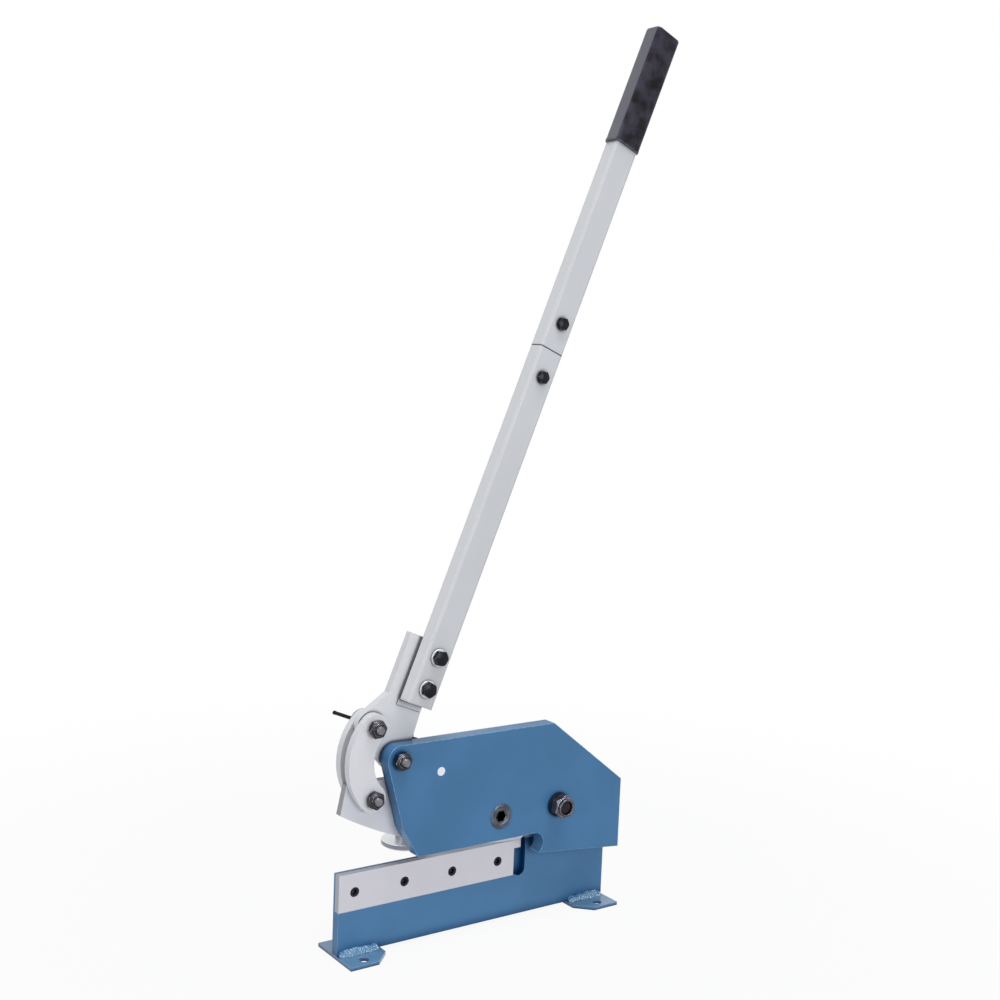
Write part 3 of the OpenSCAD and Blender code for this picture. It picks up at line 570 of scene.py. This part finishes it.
M8 = Thread(8 * MM, 1.25 * MM, 12 * MM)
M10 = Thread(10 * MM, 1.5 * MM, 16 * MM)
M12 = Thread(12 * MM, 1.75 * MM, 19 * MM)
HEAVY_M12 = replace(M12, across=22.5 * MM)
M20 = Thread(20 * MM, 2.5 * MM, 30 * MM)


@dataclass(frozen=True)
class WasherKind:
    """A washer's outer diameter and thickness, as shares of its bolt's diameter."""

    wide: float
    thick: float


SMALL_WASHER = WasherKind(1.75, 0.19)
PLAIN_WASHER = WasherKind(2.0, 0.19)
LARGE_WASHER = WasherKind(3.1, 0.25)


@dataclass(frozen=True)
class Layout:
    """Places and depths of the machine, from the driving sizes that the solids were made with."""

    base_l: float = 455 * MM
    base_t: float = 14 * MM
    spacer_t: float = 12 * MM
    cheek_t: float = 22 * MM
    link_gap: float = 0.4 * MM
    arm_t: float = 11 * MM
    link_t: float = 11.5 * MM
    link_l: float = 96 * MM
    tube_d: float = 25 * MM
    tube_w: float = 40 * MM
    tube_w0: float = -3.2 * MM
    pad_t: float = 1.5 * MM
    lever_tilt: float = math.radians(22.1)
    seam_s: float = 591 * MM
    tube_end: float = seam_s + 487 * MM
    base_front: float = -base_t / 2
    base_back: float = base_t / 2
    cheek_front: float = base_front - spacer_t - cheek_t
    arm_back: float = base_front - link_gap
    arm_front: float = arm_back - arm_t
    rear_link_back: float = arm_back + link_gap + link_t
    front_link_front: float = arm_front - link_gap - link_t
    tube_back: float = arm_front - pad_t
    tube_front: float = tube_back - tube_d
    tube_mid: float = (tube_back + tube_front) / 2

    @classmethod
    def at(cls, x: float, z: float, y: float = 0.0) -> Vector:
        """Gives the place x mm from the base's left end and z mm above the bench, at a depth y in metres."""
        return Vector((x * MM - cls.base_l / 2, y, z * MM))

    @classmethod
    def on_lever(cls, across: float, along: float) -> Vector:
        """Gives the place to the right of the lever's axis and up from its pivot, with Y 0."""
        c, s = math.cos(cls.lever_tilt), math.sin(cls.lever_tilt)
        return cls.lever_pivot() + Vector((across * c + along * s, 0.0, along * c - across * s))

    @classmethod
    def lever_pivot(cls) -> Vector:
        """Gives the lever pivot, with Y 0."""
        return cls.at(69.4, 274.3)

    @classmethod
    def main_pivot(cls) -> Vector:
        """Gives the main pivot, with Y 0."""
        return cls.at(337.7, 172.7)

    @classmethod
    def link_pins(cls) -> tuple[Vector, Vector]:
        """Gives the upper and the lower link pin, with Y 0."""
        top = cls.on_lever(-48.6 * MM, 28.8 * MM)
        return top, top - Vector((0.0, 0.0, cls.link_l))


FRONT = Vector((0.0, -1.0, 0.0))
BACK = Vector((0.0, 1.0, 0.0))
UP = Vector((0.0, 0.0, 1.0))


def at_depth(place: Vector, y: float) -> Vector:
    """Moves a place in the plane of the plates to a depth."""
    return Vector((place.x, y, place.z))


@dataclass
class Fastener:
    """One bolt, nut, washer or screw, with shares of the thread's diameter for its sizes.

    Attributes:
        place: Its axis, with Y 0.
        seat: Depth of the face that it is tightened on, or of a screw's front face.
        size: Its thread.
        turn: Turn of its hexagon.
    """

    place: Vector
    seat: float
    size: Thread
    turn: float = 0.0

    HEAD = 0.64
    NUT = 0.95
    COLLAR_SHARE = 0.3
    COLLAR = 1.35
    COLLAR_ROUND = 0.09
    TAIL = 0.25
    THREADED = 1.2
    WASHER_PLAY = 0.2 * MM

    def _form(self, way: Vector) -> Turned:
        """Gives an empty form that starts at the seat."""
        return Turned(at_depth(self.place, self.seat), way, phase=self.turn)

    def bolt(self, length: float, head: Vector, shank: float | None = None) -> np.ndarray:
        """Works out a hexagon bolt.

        Args:
            length: Length of the shank.
            head: Direction in which the head stands.
            shank: Diameter of the plain length, if it isn't the thread's.

        Returns:
            The sweep of the bolt.
        """
        d, form = self.size.d, self._form(-head)
        thin, top, plain = (shank or d) / 2, -self.HEAD * d, max(0.0, length - self.THREADED * d)
        form.rings.append((top, 0.0))
        form.hex_prism(top, 0.0, self.size.across, both_ends=False)
        form.rings += [(0.0, thin), (plain, thin)]
        form.thread(plain, length, d / 2, self.size.pitch)
        form.rings.append((length, 0.0))
        return form.sweep()

    def lock_nut(self) -> np.ndarray:
        """Works out a locking nut that stands forward, with a round collar and a hole for its bolt.

        Returns:
            The sweep of the nut.
        """
        d, form = self.size.d, self._form(FRONT)
        height, bore, collar, soft = self.NUT * d, d / 2, self.COLLAR / 2 * d, self.COLLAR_ROUND * d
        mouth, mouth_deep = 1.2 * bore, 0.06 * d
        shoulder = (1.0 - self.COLLAR_SHARE) * height
        bend = np.linspace(0.0, QUARTER_TURN, 6)
        form.rings.append((0.0, bore))
        form.hex_prism(0.0, shoulder, self.size.across)
        form.rings.append((shoulder, collar))
        form.rings += zip(height - soft + soft * np.sin(bend), collar - soft + soft * np.cos(bend))
        form.rings += [(height, mouth), (height - mouth_deep, bore), (0.0, bore)]
        return form.sweep()

    def back_nut(self) -> np.ndarray:
        """Works out a plain nut that stands to the back, with a hole for its bolt.

        Returns:
            The sweep of the nut.
        """
        form = self._form(BACK)
        height, bore = self.HEAD * self.size.d, self.size.d / 2
        mouth, mouth_deep = 1.1 * bore, 0.05 * self.size.d
        form.rings.append((0.0, bore))
        form.hex_prism(0.0, height, self.size.across)
        form.rings += [(height, mouth), (height - mouth_deep, bore), (0.0, bore)]
        return form.sweep()

    def washer(self, kind: WasherKind) -> np.ndarray:
        """Works out a washer with rounded rims, whose back face is at the seat.

        Args:
            kind: Its width and thickness.

        Returns:
            The sweep of the washer.
        """
        form, d = self._form(FRONT), self.size.d
        t, bore, rim = kind.thick * d, d / 2 + self.WASHER_PLAY, kind.wide * d / 2
        soft = 0.25 * t
        form.rings += [(0.0, bore), (0.0, rim - soft), (soft, rim), (t - soft, rim), (t, rim - soft),
                       (t, bore + soft), (t - soft, bore), (0.0, bore)]
        return form.sweep()

    def socket_screw(self, length: float) -> np.ndarray:
        """Works out a socket-head screw whose head stands forward.

        Args:
            length: Whole length from the front face.

        Returns:
            The sweep of the screw.
        """
        form = self._form(BACK)
        head, rim, soft, deep, tip = (share * self.size.d for share in (0.875, 0.8, 0.06, 0.55, 0.1))
        key = form.hexagon(rim)
        form.rings += [(deep + tip, 0.0), (deep, key * 0.98), (soft, key), (0.0, key * 1.08)]
        form.rings += [(0.0, rim - soft), (soft, rim), (head, rim), (head, self.size.d / 2)]
        form.thread(head, length, self.size.d / 2, self.size.pitch)
        form.rings.append((length, 0.0))
        return form.sweep()


@dataclass
class Fasteners:
    """All the fasteners. Turns are angles of hexagons, and blade and guide places are in mm."""

    maker: MeshMaker
    main_tail: float = -0.2
    main_turn: float = math.radians(22.0)
    lever_shank: float = 14 * MM
    turn: float = math.radians(8.0)
    other_turn: float = math.radians(34.0)
    upper_link_turn: float = math.radians(4.0)
    head_bolt_s: Span = (99.5 * MM, 144 * MM)
    splice_offset: float = 40 * MM
    blade_first: Span = (24.4, 90.3)
    blade_step: float = 78.2
    blade_count: int = 4
    blade_deep: float = 1.0 * MM
    guide: Span = (237.2, 170.6)
    guide_r: float = 17.8 * MM
    guide_rise: float = 1.6 * MM
    guide_key: float = 14.6 * MM
    guide_cone_r: float = 10.6 * MM
    guide_deep: float = 15 * MM
    guide_step: float = 2 * MM
    guide_end: float = 0.5 * MM
    crisp: Span = (0.1 * MM, 0.5 * MM)

    def build(self) -> None:
        """Makes every fastener piece and hides the plain nodes that it stands for."""
        self._pivots()
        self._links()
        self._lever()
        self._blade()
        self._guide()

    def _pivots(self) -> None:
        """Makes the bolts, washers and nuts of the two fixed pivots."""
        put, front = self.maker.stand_in, Layout.cheek_front
        spots = (
            ("main_pivot", Layout.main_pivot(), M20, M20.d, self.main_tail, BLACK_STEEL, NUT_STEEL,
             self.main_turn),
            ("lever_pivot", Layout.lever_pivot(), HEAVY_M12, self.lever_shank, Fastener.TAIL, BOLT_STEEL,
             DARK_NUT, self.turn),
        )
        for name, p, size, shank, tail, bolt_finish, nut_finish, turn in spots:
            seat = Layout.base_back + SMALL_WASHER.thick * size.d
            nut_seat = front - SMALL_WASHER.thick * size.d
            length = seat - nut_seat + (Fastener.NUT + tail) * size.d
            washers = [Fastener(p, y, size).washer(SMALL_WASHER) for y in (front, seat)]
            put(f"{name}_bolt", "threaded", [Fastener(p, seat, size).bolt(length, BACK, shank)], bolt_finish)
            put(f"{name}_nut", "turned", [Fastener(p, nut_seat, size, turn).lock_nut()], nut_finish)
            put(f"{name}_washers", "rounded", washers, DULL_BLACK)

    def _links(self) -> None:
        """Makes the bolts, washers and nuts of the two link pins."""
        put, size, pins, front = self.maker.stand_in, HEAVY_M12, Layout.link_pins(), Layout.front_link_front
        seat = Layout.rear_link_back + LARGE_WASHER.thick * size.d
        nut_seat = front - SMALL_WASHER.thick * size.d
        length = seat - nut_seat + (Fastener.NUT + Fastener.TAIL) * size.d
        turns = (self.upper_link_turn, self.other_turn)
        nuts = [Fastener(p, nut_seat, size, turn).lock_nut() for p, turn in zip(pins, turns)]
        washers = [Fastener(p, front, size).washer(SMALL_WASHER) for p in pins]
        washers += [Fastener(p, seat, size).washer(LARGE_WASHER) for p in pins]
        put("link_bolts", "threaded", [Fastener(p, seat, size).bolt(length, BACK) for p in pins],
            BOLT_STEEL, "links")
        put("link_nuts", "turned", nuts, DARK_NUT, "links")
        put("link_washers", "rounded", washers, DULL_BLACK, "links")

    def _lever(self) -> None:
        """Makes the bolts that hold the tube to its head and the two tubes together."""
        put, front, back = self.maker.stand_in, Layout.tube_front, Layout.arm_back
        spots = [Layout.on_lever(Layout.tube_w0, s) for s in self.head_bolt_s]
        seat = front - PLAIN_WASHER.thick * M12.d
        length = back + (Fastener.HEAD + Fastener.TAIL) * M12.d - seat
        turns = (self.other_turn, self.turn)
        bolts = [Fastener(p, seat, M12, turn).bolt(length, FRONT) for p, turn in zip(spots, turns)]
        washers = [Fastener(p, front, M12).washer(PLAIN_WASHER) for p in spots]
        nuts = [Fastener(p, back, M12, self.turn).back_nut() for p in spots]
        put("head_bolts", "threaded", bolts, BLACK_HEAD, "lever")
        put("head_washers", "rounded", washers, ZINC_STEEL, "lever")
        put("head_nuts", "turned", nuts, BLACK_STEEL, "lever")
        back = Layout.tube_back
        spots = [Layout.on_lever(Layout.tube_w0, Layout.seam_s + side * self.splice_offset)
                 for side in (-1, 1)]
        length = back + (Fastener.HEAD + Fastener.TAIL) * M10.d - front
        bolts = [Fastener(p, front, M10, self.turn).bolt(length, FRONT) for p in spots]
        nuts = [Fastener(p, back, M10, self.turn).back_nut() for p in spots]
        put("splice_bolts", "threaded", bolts, BLACK_HEAD, "lever")
        put("splice_nuts", "turned", nuts, BLACK_STEEL, "lever")

    def _blade(self) -> None:
        """Makes the recessed screws of the lower blade and their nuts."""
        x, z = self.blade_first
        spots = [Layout.at(x + self.blade_step * i, z) for i in range(self.blade_count)]
        face = Layout.base_front + self.blade_deep
        length = Layout.base_back + Fastener.HEAD * M8.d + self.blade_deep - face
        screws = [Fastener(p, face, M8).socket_screw(length) for p in spots]
        nuts = [Fastener(p, Layout.base_back, M8).back_nut() for p in spots]
        self.maker.stand_in("lower_blade_screws", "socketed", screws, BLACK_STEEL)
        self.maker.stand_in("lower_blade_nuts", "turned", nuts, BLACK_STEEL)

    def _guide(self) -> None:
        """Makes the large guide screw in the cheek."""
        form = Turned(Layout.at(*self.guide, Layout.cheek_front), FRONT, around=96)
        rise, rim, cone, (near, wide) = self.guide_rise, self.guide_r, self.guide_cone_r, self.crisp
        flat, body, back = rim - rise, rim - self.guide_step, self.guide_end - Layout.cheek_t
        key = form.hexagon(self.guide_key)
        form.rings += [(-self.guide_deep, 0.0), (-self.guide_deep, key), (0.0, key)]
        form.rings += [(rise - near, cone - near), (rise, cone), (rise, cone + wide)]
        form.rings += [(rise, flat - wide), (rise, flat), (0.4 * rise, rim - 0.2 * rise)]
        form.rings += [(0.0, rim), (0.0, body), (back, body), (back, 0.0)]
        self.maker.stand_in("arm_guide_screw", "turned", [form.sweep()], GUIDE_STEEL)


@dataclass
class Beads:
    """Weld beads with ripples. Shares are of the radius, waves are in ripples, and places in mm."""

    maker: MeshMaker
    ripple: float = 4.2 * MM
    foot_r: float = 9.6 * MM
    inset: float = 2.5 * MM
    foot_flatness: float = 0.75
    cheek_x: float = 319.0
    cheek_low: float = 90.0
    cheek_run: float = 81 * MM
    cheek_fall: float = 0.105
    drifts: tuple[Span, ...] = ((0.35, 2.7), (0.2, 1.0))
    bow: float = 1.4 * MM
    body: float = 0.78
    scallop: float = 0.2
    lumps: tuple[tuple[float, float, float], ...] = ((0.06, 1.9, 3.0), (0.05, 0.55, -2.0))
    end_share: float = 0.35
    around: int = 18
    per_ripple: int = 10

    def bead(self, start: Vector, along: Vector, length: float, radius: float,
             sides: tuple[Vector, Vector], arc: float, flatness: float = 0.0) -> np.ndarray:
        """Works out a bead whose section is part of a circle.

        A point stands off the corner by the radius times the sum of the body, ripples of a drifting
        sine that fade to the section's feet, and lumps. It shrinks to both ends like a square root.

        Args:
            start: Corner where the bead starts.
            along: Unit vector along the bead.
            length: Its length.
            radius: Largest radius of the section.
            sides: Unit vectors of the section's angle 0 and quarter turn.
            arc: Angle that the section covers.
            flatness: 0 for a round section, 1 for a flat one between its two feet.

        Returns:
            The sweep of the bead.
        """
        turn = np.linspace(0.0, arc, self.around)
        far = np.linspace(0.0, length, round(length / self.ripple * self.per_ripple))[:, None]
        crown = np.sin(turn * math.pi / arc)
        drift = self.ripple * sum(size * np.sin(far / (run * self.ripple)) for size, run in self.drifts)
        ripples = np.abs(np.sin((far + drift - self.bow * crown) / self.ripple * math.pi))
        lumps = sum(size * np.sin(far / (run * self.ripple) + twist * turn)
                    for size, run, twist in self.lumps)
        wide = radius * (self.body + self.scallop * ripples * crown + lumps)
        fade = np.sqrt(np.clip(2.0 * np.minimum(far, length - far) / radius, 0.0, 1.0))
        wide = wide * (self.end_share + (1.0 - self.end_share) * fade)
        wide = wide / (np.abs(np.cos(turn)) + np.abs(np.sin(turn))) ** flatness
        spoke = np.cos(turn)[:, None] * np.array(sides[0]) + np.sin(turn)[:, None] * np.array(sides[1])
        corner = (np.array(start) + far * np.array(along))[:, None, :]
        return np.concatenate([corner, corner + wide[:, :, None] * spoke], axis=1)

    def build(self) -> None:
        """Makes the beads of the feet and of the cheek."""
        low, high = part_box("foot_left")
        length = high.x - low.x - 2 * self.inset
        sweeps = []
        for end in (-1, 1):
            for side in (-1, 1):
                start = Vector((end * (Layout.base_l / 2 - self.inset), side * Layout.base_t / 2,
                                high.z - low.z))
                sweeps.append(self.bead(start, Vector((-end, 0.0, 0.0)), length, self.foot_r,
                                        (side * BACK, UP), QUARTER_TURN, self.foot_flatness))
        self.maker.stand_in("foot_welds", "rippled", sweeps, BEAD_PAINT)
        slope = math.atan(self.cheek_fall)
        along = Vector((math.cos(slope), 0.0, -math.sin(slope)))
        down = Vector((-math.sin(slope), 0.0, -math.cos(slope)))
        radius = Layout.spacer_t / 2
        z = self.cheek_low + (Layout.base_l / MM - self.cheek_x) * self.cheek_fall
        start = Layout.at(self.cheek_x, z, Layout.base_front - radius)
        sweep = self.bead(start, along, self.cheek_run / math.cos(slope), radius, (BACK, down), math.pi)
        self.maker.stand_in("cheek_weld", "rippled", [sweep], BEAD_PAINT)


@dataclass
class Grip:
    """The hand grip of the lever, with a lip at its mouth and a rounded closed end."""

    maker: MeshMaker
    length: float = 179 * MM
    wall: float = 2.4 * MM
    gap: float = 0.15 * MM
    cap: float = 4 * MM
    corner: float = 6.5 * MM
    bore_corner: float = 3 * MM
    bore: float = 30 * MM
    lip: float = 5 * MM
    lip_t: float = 0.4 * MM
    lip_soft: Span = (0.8 * MM, 1.5 * MM)
    soft: float = 3.2 * MM
    around_corner: int = 10

    def ring(self, s: float, more: float, corner: float) -> np.ndarray:
        """Works out a rectangle with round corners, which lies across the lever.

        Each quarter of the points is an arc around the middle of one corner, half the width and half
        the depth less the corner radius from the tube's axis.

        Args:
            s: Distance along the lever.
            more: How much larger it is than the grip's outside.
            corner: Corner radius.

        Returns:
            Array (points, 3) in the row frame.
        """
        size = np.array((Layout.tube_w, Layout.tube_d)) + 2 * (self.wall + self.gap) + more
        signs = np.repeat(((1, 1), (-1, 1), (-1, -1), (1, -1)), self.around_corner, axis=0)
        turn = np.linspace(0.0, QUARTER_TURN, self.around_corner)
        angle = (turn + QUARTER_TURN * np.arange(4)[:, None]).ravel()
        flat = signs * (size / 2 - corner) + corner * np.stack([np.cos(angle), np.sin(angle)], axis=1)
        centre = np.array(at_depth(Layout.on_lever(Layout.tube_w0, s), Layout.tube_mid))
        across = np.array((math.cos(Layout.lever_tilt), 0.0, -math.sin(Layout.lever_tilt)))
        return centre + flat[:, :1] * across + flat[:, 1:] * np.array(BACK)

    def build(self) -> None:
        """Makes the grip."""
        end = Layout.tube_end + self.cap
        start = end - self.length
        inner, full = -2 * self.wall, (2 * self.lip_t, self.corner + self.lip_t)
        rise, fall = self.lip_soft
        rows = [(start + self.bore, inner, self.bore_corner), (start, inner, self.bore_corner),
                (start, self.lip_t, self.corner + 0.5 * self.lip_t), (start + rise, *full),
                (start + self.lip - fall, *full), (start + self.lip, 0.0, self.corner)]
        for bend in np.linspace(0.0, QUARTER_TURN, 8):
            inset = self.soft * (1.0 - math.cos(bend))
            rows.append((end - self.soft + self.soft * math.sin(bend), -2 * inset,
                         self.corner - 0.4 * inset))
        self.maker.stand_in("hand_grip", "moulded", [np.array([self.ring(*row) for row in rows])],
                            GRIP_RUBBER, "lever")


@dataclass
class HoldDown:
    """The threaded spindle of the hold-down and its tommy bar.

    The heights are above the bench, the bar's ends are distances from the spindle's axis, and x is in mm.
    """

    maker: MeshMaker
    x: float = 128.7
    y: float = 39.2 * MM
    base: float = 130.0 * MM
    shoulder: float = 142.75 * MM
    neck_r: float = 6.5 * MM
    screw_r: float = 8.0 * MM
    pitch: float = 2.0 * MM
    groove: float = 0.55
    head_h: float = 13 * MM
    head_soft: float = 1.2 * MM
    bar_z: float = 278.7 * MM
    bar_angle: float = math.radians(99.7)
    bar_ends: Span = (-18 * MM, 166 * MM)
    bar_r: float = 2.75 * MM
    cap: float = 3 * MM
    cap_share: float = 1.12
    cap_face: float = 0.7
    cap_round: float = 0.8 * MM
    cap_step: float = 0.2 * MM

    def build(self) -> None:
        """Makes the spindle and the bar."""
        self._spindle()
        self._bar()

    def _axis(self, z: float) -> Vector:
        """Gives the place on the spindle's axis at a height."""
        return Layout.at(self.x, z / MM, self.y)

    def _spindle(self) -> None:
        """Makes the spindle."""
        form = Turned(self._axis(0.0), UP, around=64)
        low, radius, soft = self.bar_z - self.head_h / 2, self.screw_r, self.head_soft
        high = low + self.head_h
        rings = Turned.RINGS_PER_PITCH * round((low - self.shoulder) / self.pitch)
        places = np.linspace(self.shoulder, low, rings)
        form.rings += [(self.base, 0.0), (self.base, self.neck_r), (self.shoulder, self.neck_r)]
        form.rings += zip(places, radius - self.groove * self.pitch * form.wave(places, self.pitch))
        form.rings += [(low, radius), (high - soft, radius), (high, radius - soft), (high, 0.0)]
        self.maker.stand_in("hold_down_spindle", "threaded", [form.sweep()], DULL_BLACK,
                            "hold_down_spindle")

    def _bar(self) -> None:
        """Makes the bar."""
        along = Vector((math.cos(self.bar_angle), math.sin(self.bar_angle), 0.0))
        form = Turned(self._axis(self.bar_z), along, around=40)
        bend = np.linspace(0.0, QUARTER_TURN, 5)
        cap_r = self.cap_share * self.bar_r
        for end, inwards in zip(self.bar_ends, (1, -1)):
            places = end + inwards * self.cap_round * (1.0 - np.cos(bend))
            radii = cap_r * (self.cap_face + (1.0 - self.cap_face) * np.sin(bend))
            profile = [(end, 0.0), *zip(places, radii),
                       (end + inwards * self.cap, cap_r),
                       (end + inwards * (self.cap + self.cap_step), self.bar_r)]
            form.rings += profile[::inwards]
        self.maker.stand_in("tommy_bar", "turned", [form.sweep()], DULL_BLACK, "tommy_bar")


@dataclass
class Studio:
    """The camera, the floor and the lights.

    The floor shows white to the camera by the fade shares, which it reaches at the fade distances.
    """

    position: Place = (-1.1051, -1.5743, 0.8075)
    yaw: float = math.radians(35.44)
    pitch: float = math.radians(-5.75)
    roll: float = math.radians(2.26)
    lens: float = 50.0
    clip: Span = (0.01, 60.0)
    floor_half: float = 14.0
    floor_colour: Colour = (0.5, 0.5, 0.52)
    floor_roughness: float = 0.7
    fade: Span = (0.35, 1.6)
    fade_shares: Span = (0.92, 1.0)
    sky_colour: Colour = (0.86, 0.93, 1.0)
    sky_power: float = 0.3
    target: Place = (0.0, 0.0, 0.45)
    lamps: tuple[tuple[str, Place, float, float], ...] = (
        ("top_light", (0.0, -1.4, 7.0), 4.5, 420.0),
        ("front_light", (1.0, -6.0, 0.9), 3.4, 212.0),
        ("left_light", (-4.0, -1.1, 1.2), 2.0, 60.0),
    )

    def build(self) -> None:
        """Makes the whole studio."""
        self._camera()
        self._floor()
        self._world()
        self._lamps()
        bpy.context.scene.view_settings.view_transform = "Standard"

    def _camera(self) -> None:
        """Makes the camera at the place that the photograph was taken from."""
        level = Vector((math.cos(self.yaw), -math.sin(self.yaw), 0.0))
        ahead = Vector((math.sin(self.yaw) * math.cos(self.pitch), math.cos(self.yaw) * math.cos(self.pitch),
                        math.sin(self.pitch)))
        upright = level.cross(ahead)
        right = math.cos(self.roll) * level + math.sin(self.roll) * upright
        up = -math.sin(self.roll) * level + math.cos(self.roll) * upright
        data = bpy.data.cameras.new("camera")
        data.lens = self.lens
        data.sensor_width = 36.0
        data.sensor_fit = "HORIZONTAL"
        data.clip_start, data.clip_end = self.clip
        camera = put_in_scene("camera", data)
        turn = Matrix((right, up, -ahead)).transposed().to_4x4()
        camera.matrix_world = Matrix.Translation(Vector(self.position)) @ turn
        bpy.context.scene.camera = camera

    def _floor(self) -> None:
        """Makes the pale floor, white to the camera and still carrying the object's shadow."""
        half = self.floor_half
        mesh = bpy.data.meshes.new("floor")
        mesh.from_pydata([(-half, -half, 0.0), (half, -half, 0.0), (half, half, 0.0), (-half, half, 0.0)],
                         [], [(0, 1, 2, 3)])
        floor = put_in_scene("floor", mesh)
        material = bpy.data.materials.new("floor_white")
        material.use_nodes = True
        graph = NodeGraph(material.node_tree)
        shader = graph.find("BSDF_PRINCIPLED")
        graph.feed(shader, {"Base Color": (*self.floor_colour, 1.0), "Roughness": self.floor_roughness})
        rays = graph.add("ShaderNodeLightPath").outputs
        seen = graph.math("MAXIMUM", rays["Is Camera Ray"], rays["Is Glossy Ray"])
        place = graph.add("ShaderNodeTexCoord").outputs["Object"]
        reach = graph.add("ShaderNodeVectorMath", {0: place}, operation="LENGTH").outputs["Value"]
        share = graph.math("MULTIPLY", seen, graph.ramp(reach, self.fade, self.fade_shares))
        glow = graph.add("ShaderNodeEmission", {"Strength": 1.0}).outputs["Emission"]
        blend = graph.add("ShaderNodeMixShader", {"Fac": share, 1: shader.outputs["BSDF"], 2: glow})
        graph.feed(graph.find("OUTPUT_MATERIAL"), {"Surface": blend.outputs["Shader"]})
        mesh.materials.append(material)

    def _world(self) -> None:
        """Makes the world: white where it is seen, and a soft cool light on the object."""
        world = bpy.data.worlds.new("studio")
        bpy.context.scene.world = world
        world.use_nodes = True
        world.node_tree.nodes.clear()
        graph = NodeGraph(world.node_tree)
        light = graph.add("ShaderNodeBackground", {"Color": (*self.sky_colour, 1.0),
                                                   "Strength": self.sky_power})
        white = graph.add("ShaderNodeBackground", {"Color": (1.0, 1.0, 1.0, 1.0)})
        rays = graph.add("ShaderNodeLightPath").outputs
        straight = graph.math("MAXIMUM", rays["Is Camera Ray"], rays["Is Transmission Ray"])
        seen = graph.math("MAXIMUM", straight, rays["Is Glossy Ray"])
        blend = graph.add("ShaderNodeMixShader", {"Fac": seen, 1: light.outputs["Background"],
                                                  2: white.outputs["Background"]})
        graph.add("ShaderNodeOutputWorld", {"Surface": blend.outputs["Shader"]})

    def _lamps(self) -> None:
        """Makes the square soft lights, each with its name, place, side and watts, facing the object."""
        for name, place, side, power in self.lamps:
            data = bpy.data.lights.new(name, "AREA")
            data.size = side
            data.energy = power
            lamp = put_in_scene(name, data)
            lamp.location = place
            lamp.rotation_mode = "QUATERNION"
            lamp.rotation_quaternion = (Vector(self.target) - Vector(place)).to_track_quat("-Z", "Y")


def dress_nodes(library: MaterialLibrary) -> None:
    """Gives every node that stays in view its finish.

    Args:
        library: The materials.
    """
    for finish, names in NODE_FINISHES.items():
        for name in names:
            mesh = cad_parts[name].data
            material = library.get(finish)
            if not mesh.materials:
                mesh.materials.append(material)
            for index in range(len(mesh.materials)):
                mesh.materials[index] = material


def main() -> None:
    """Dresses the object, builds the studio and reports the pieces."""
    logging.basicConfig(level=logging.INFO)
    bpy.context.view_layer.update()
    library = MaterialLibrary()
    maker = MeshMaker(library)
    dress_nodes(library)
    for part in (Fasteners(maker), Beads(maker), Grip(maker), HoldDown(maker), Studio()):
        part.build()
    for piece in maker.pieces:
        LOG.info("%s: %d points, %d faces", piece.name, len(piece.data.vertices), len(piece.data.polygons))


if __name__ == "__main__":
    main()
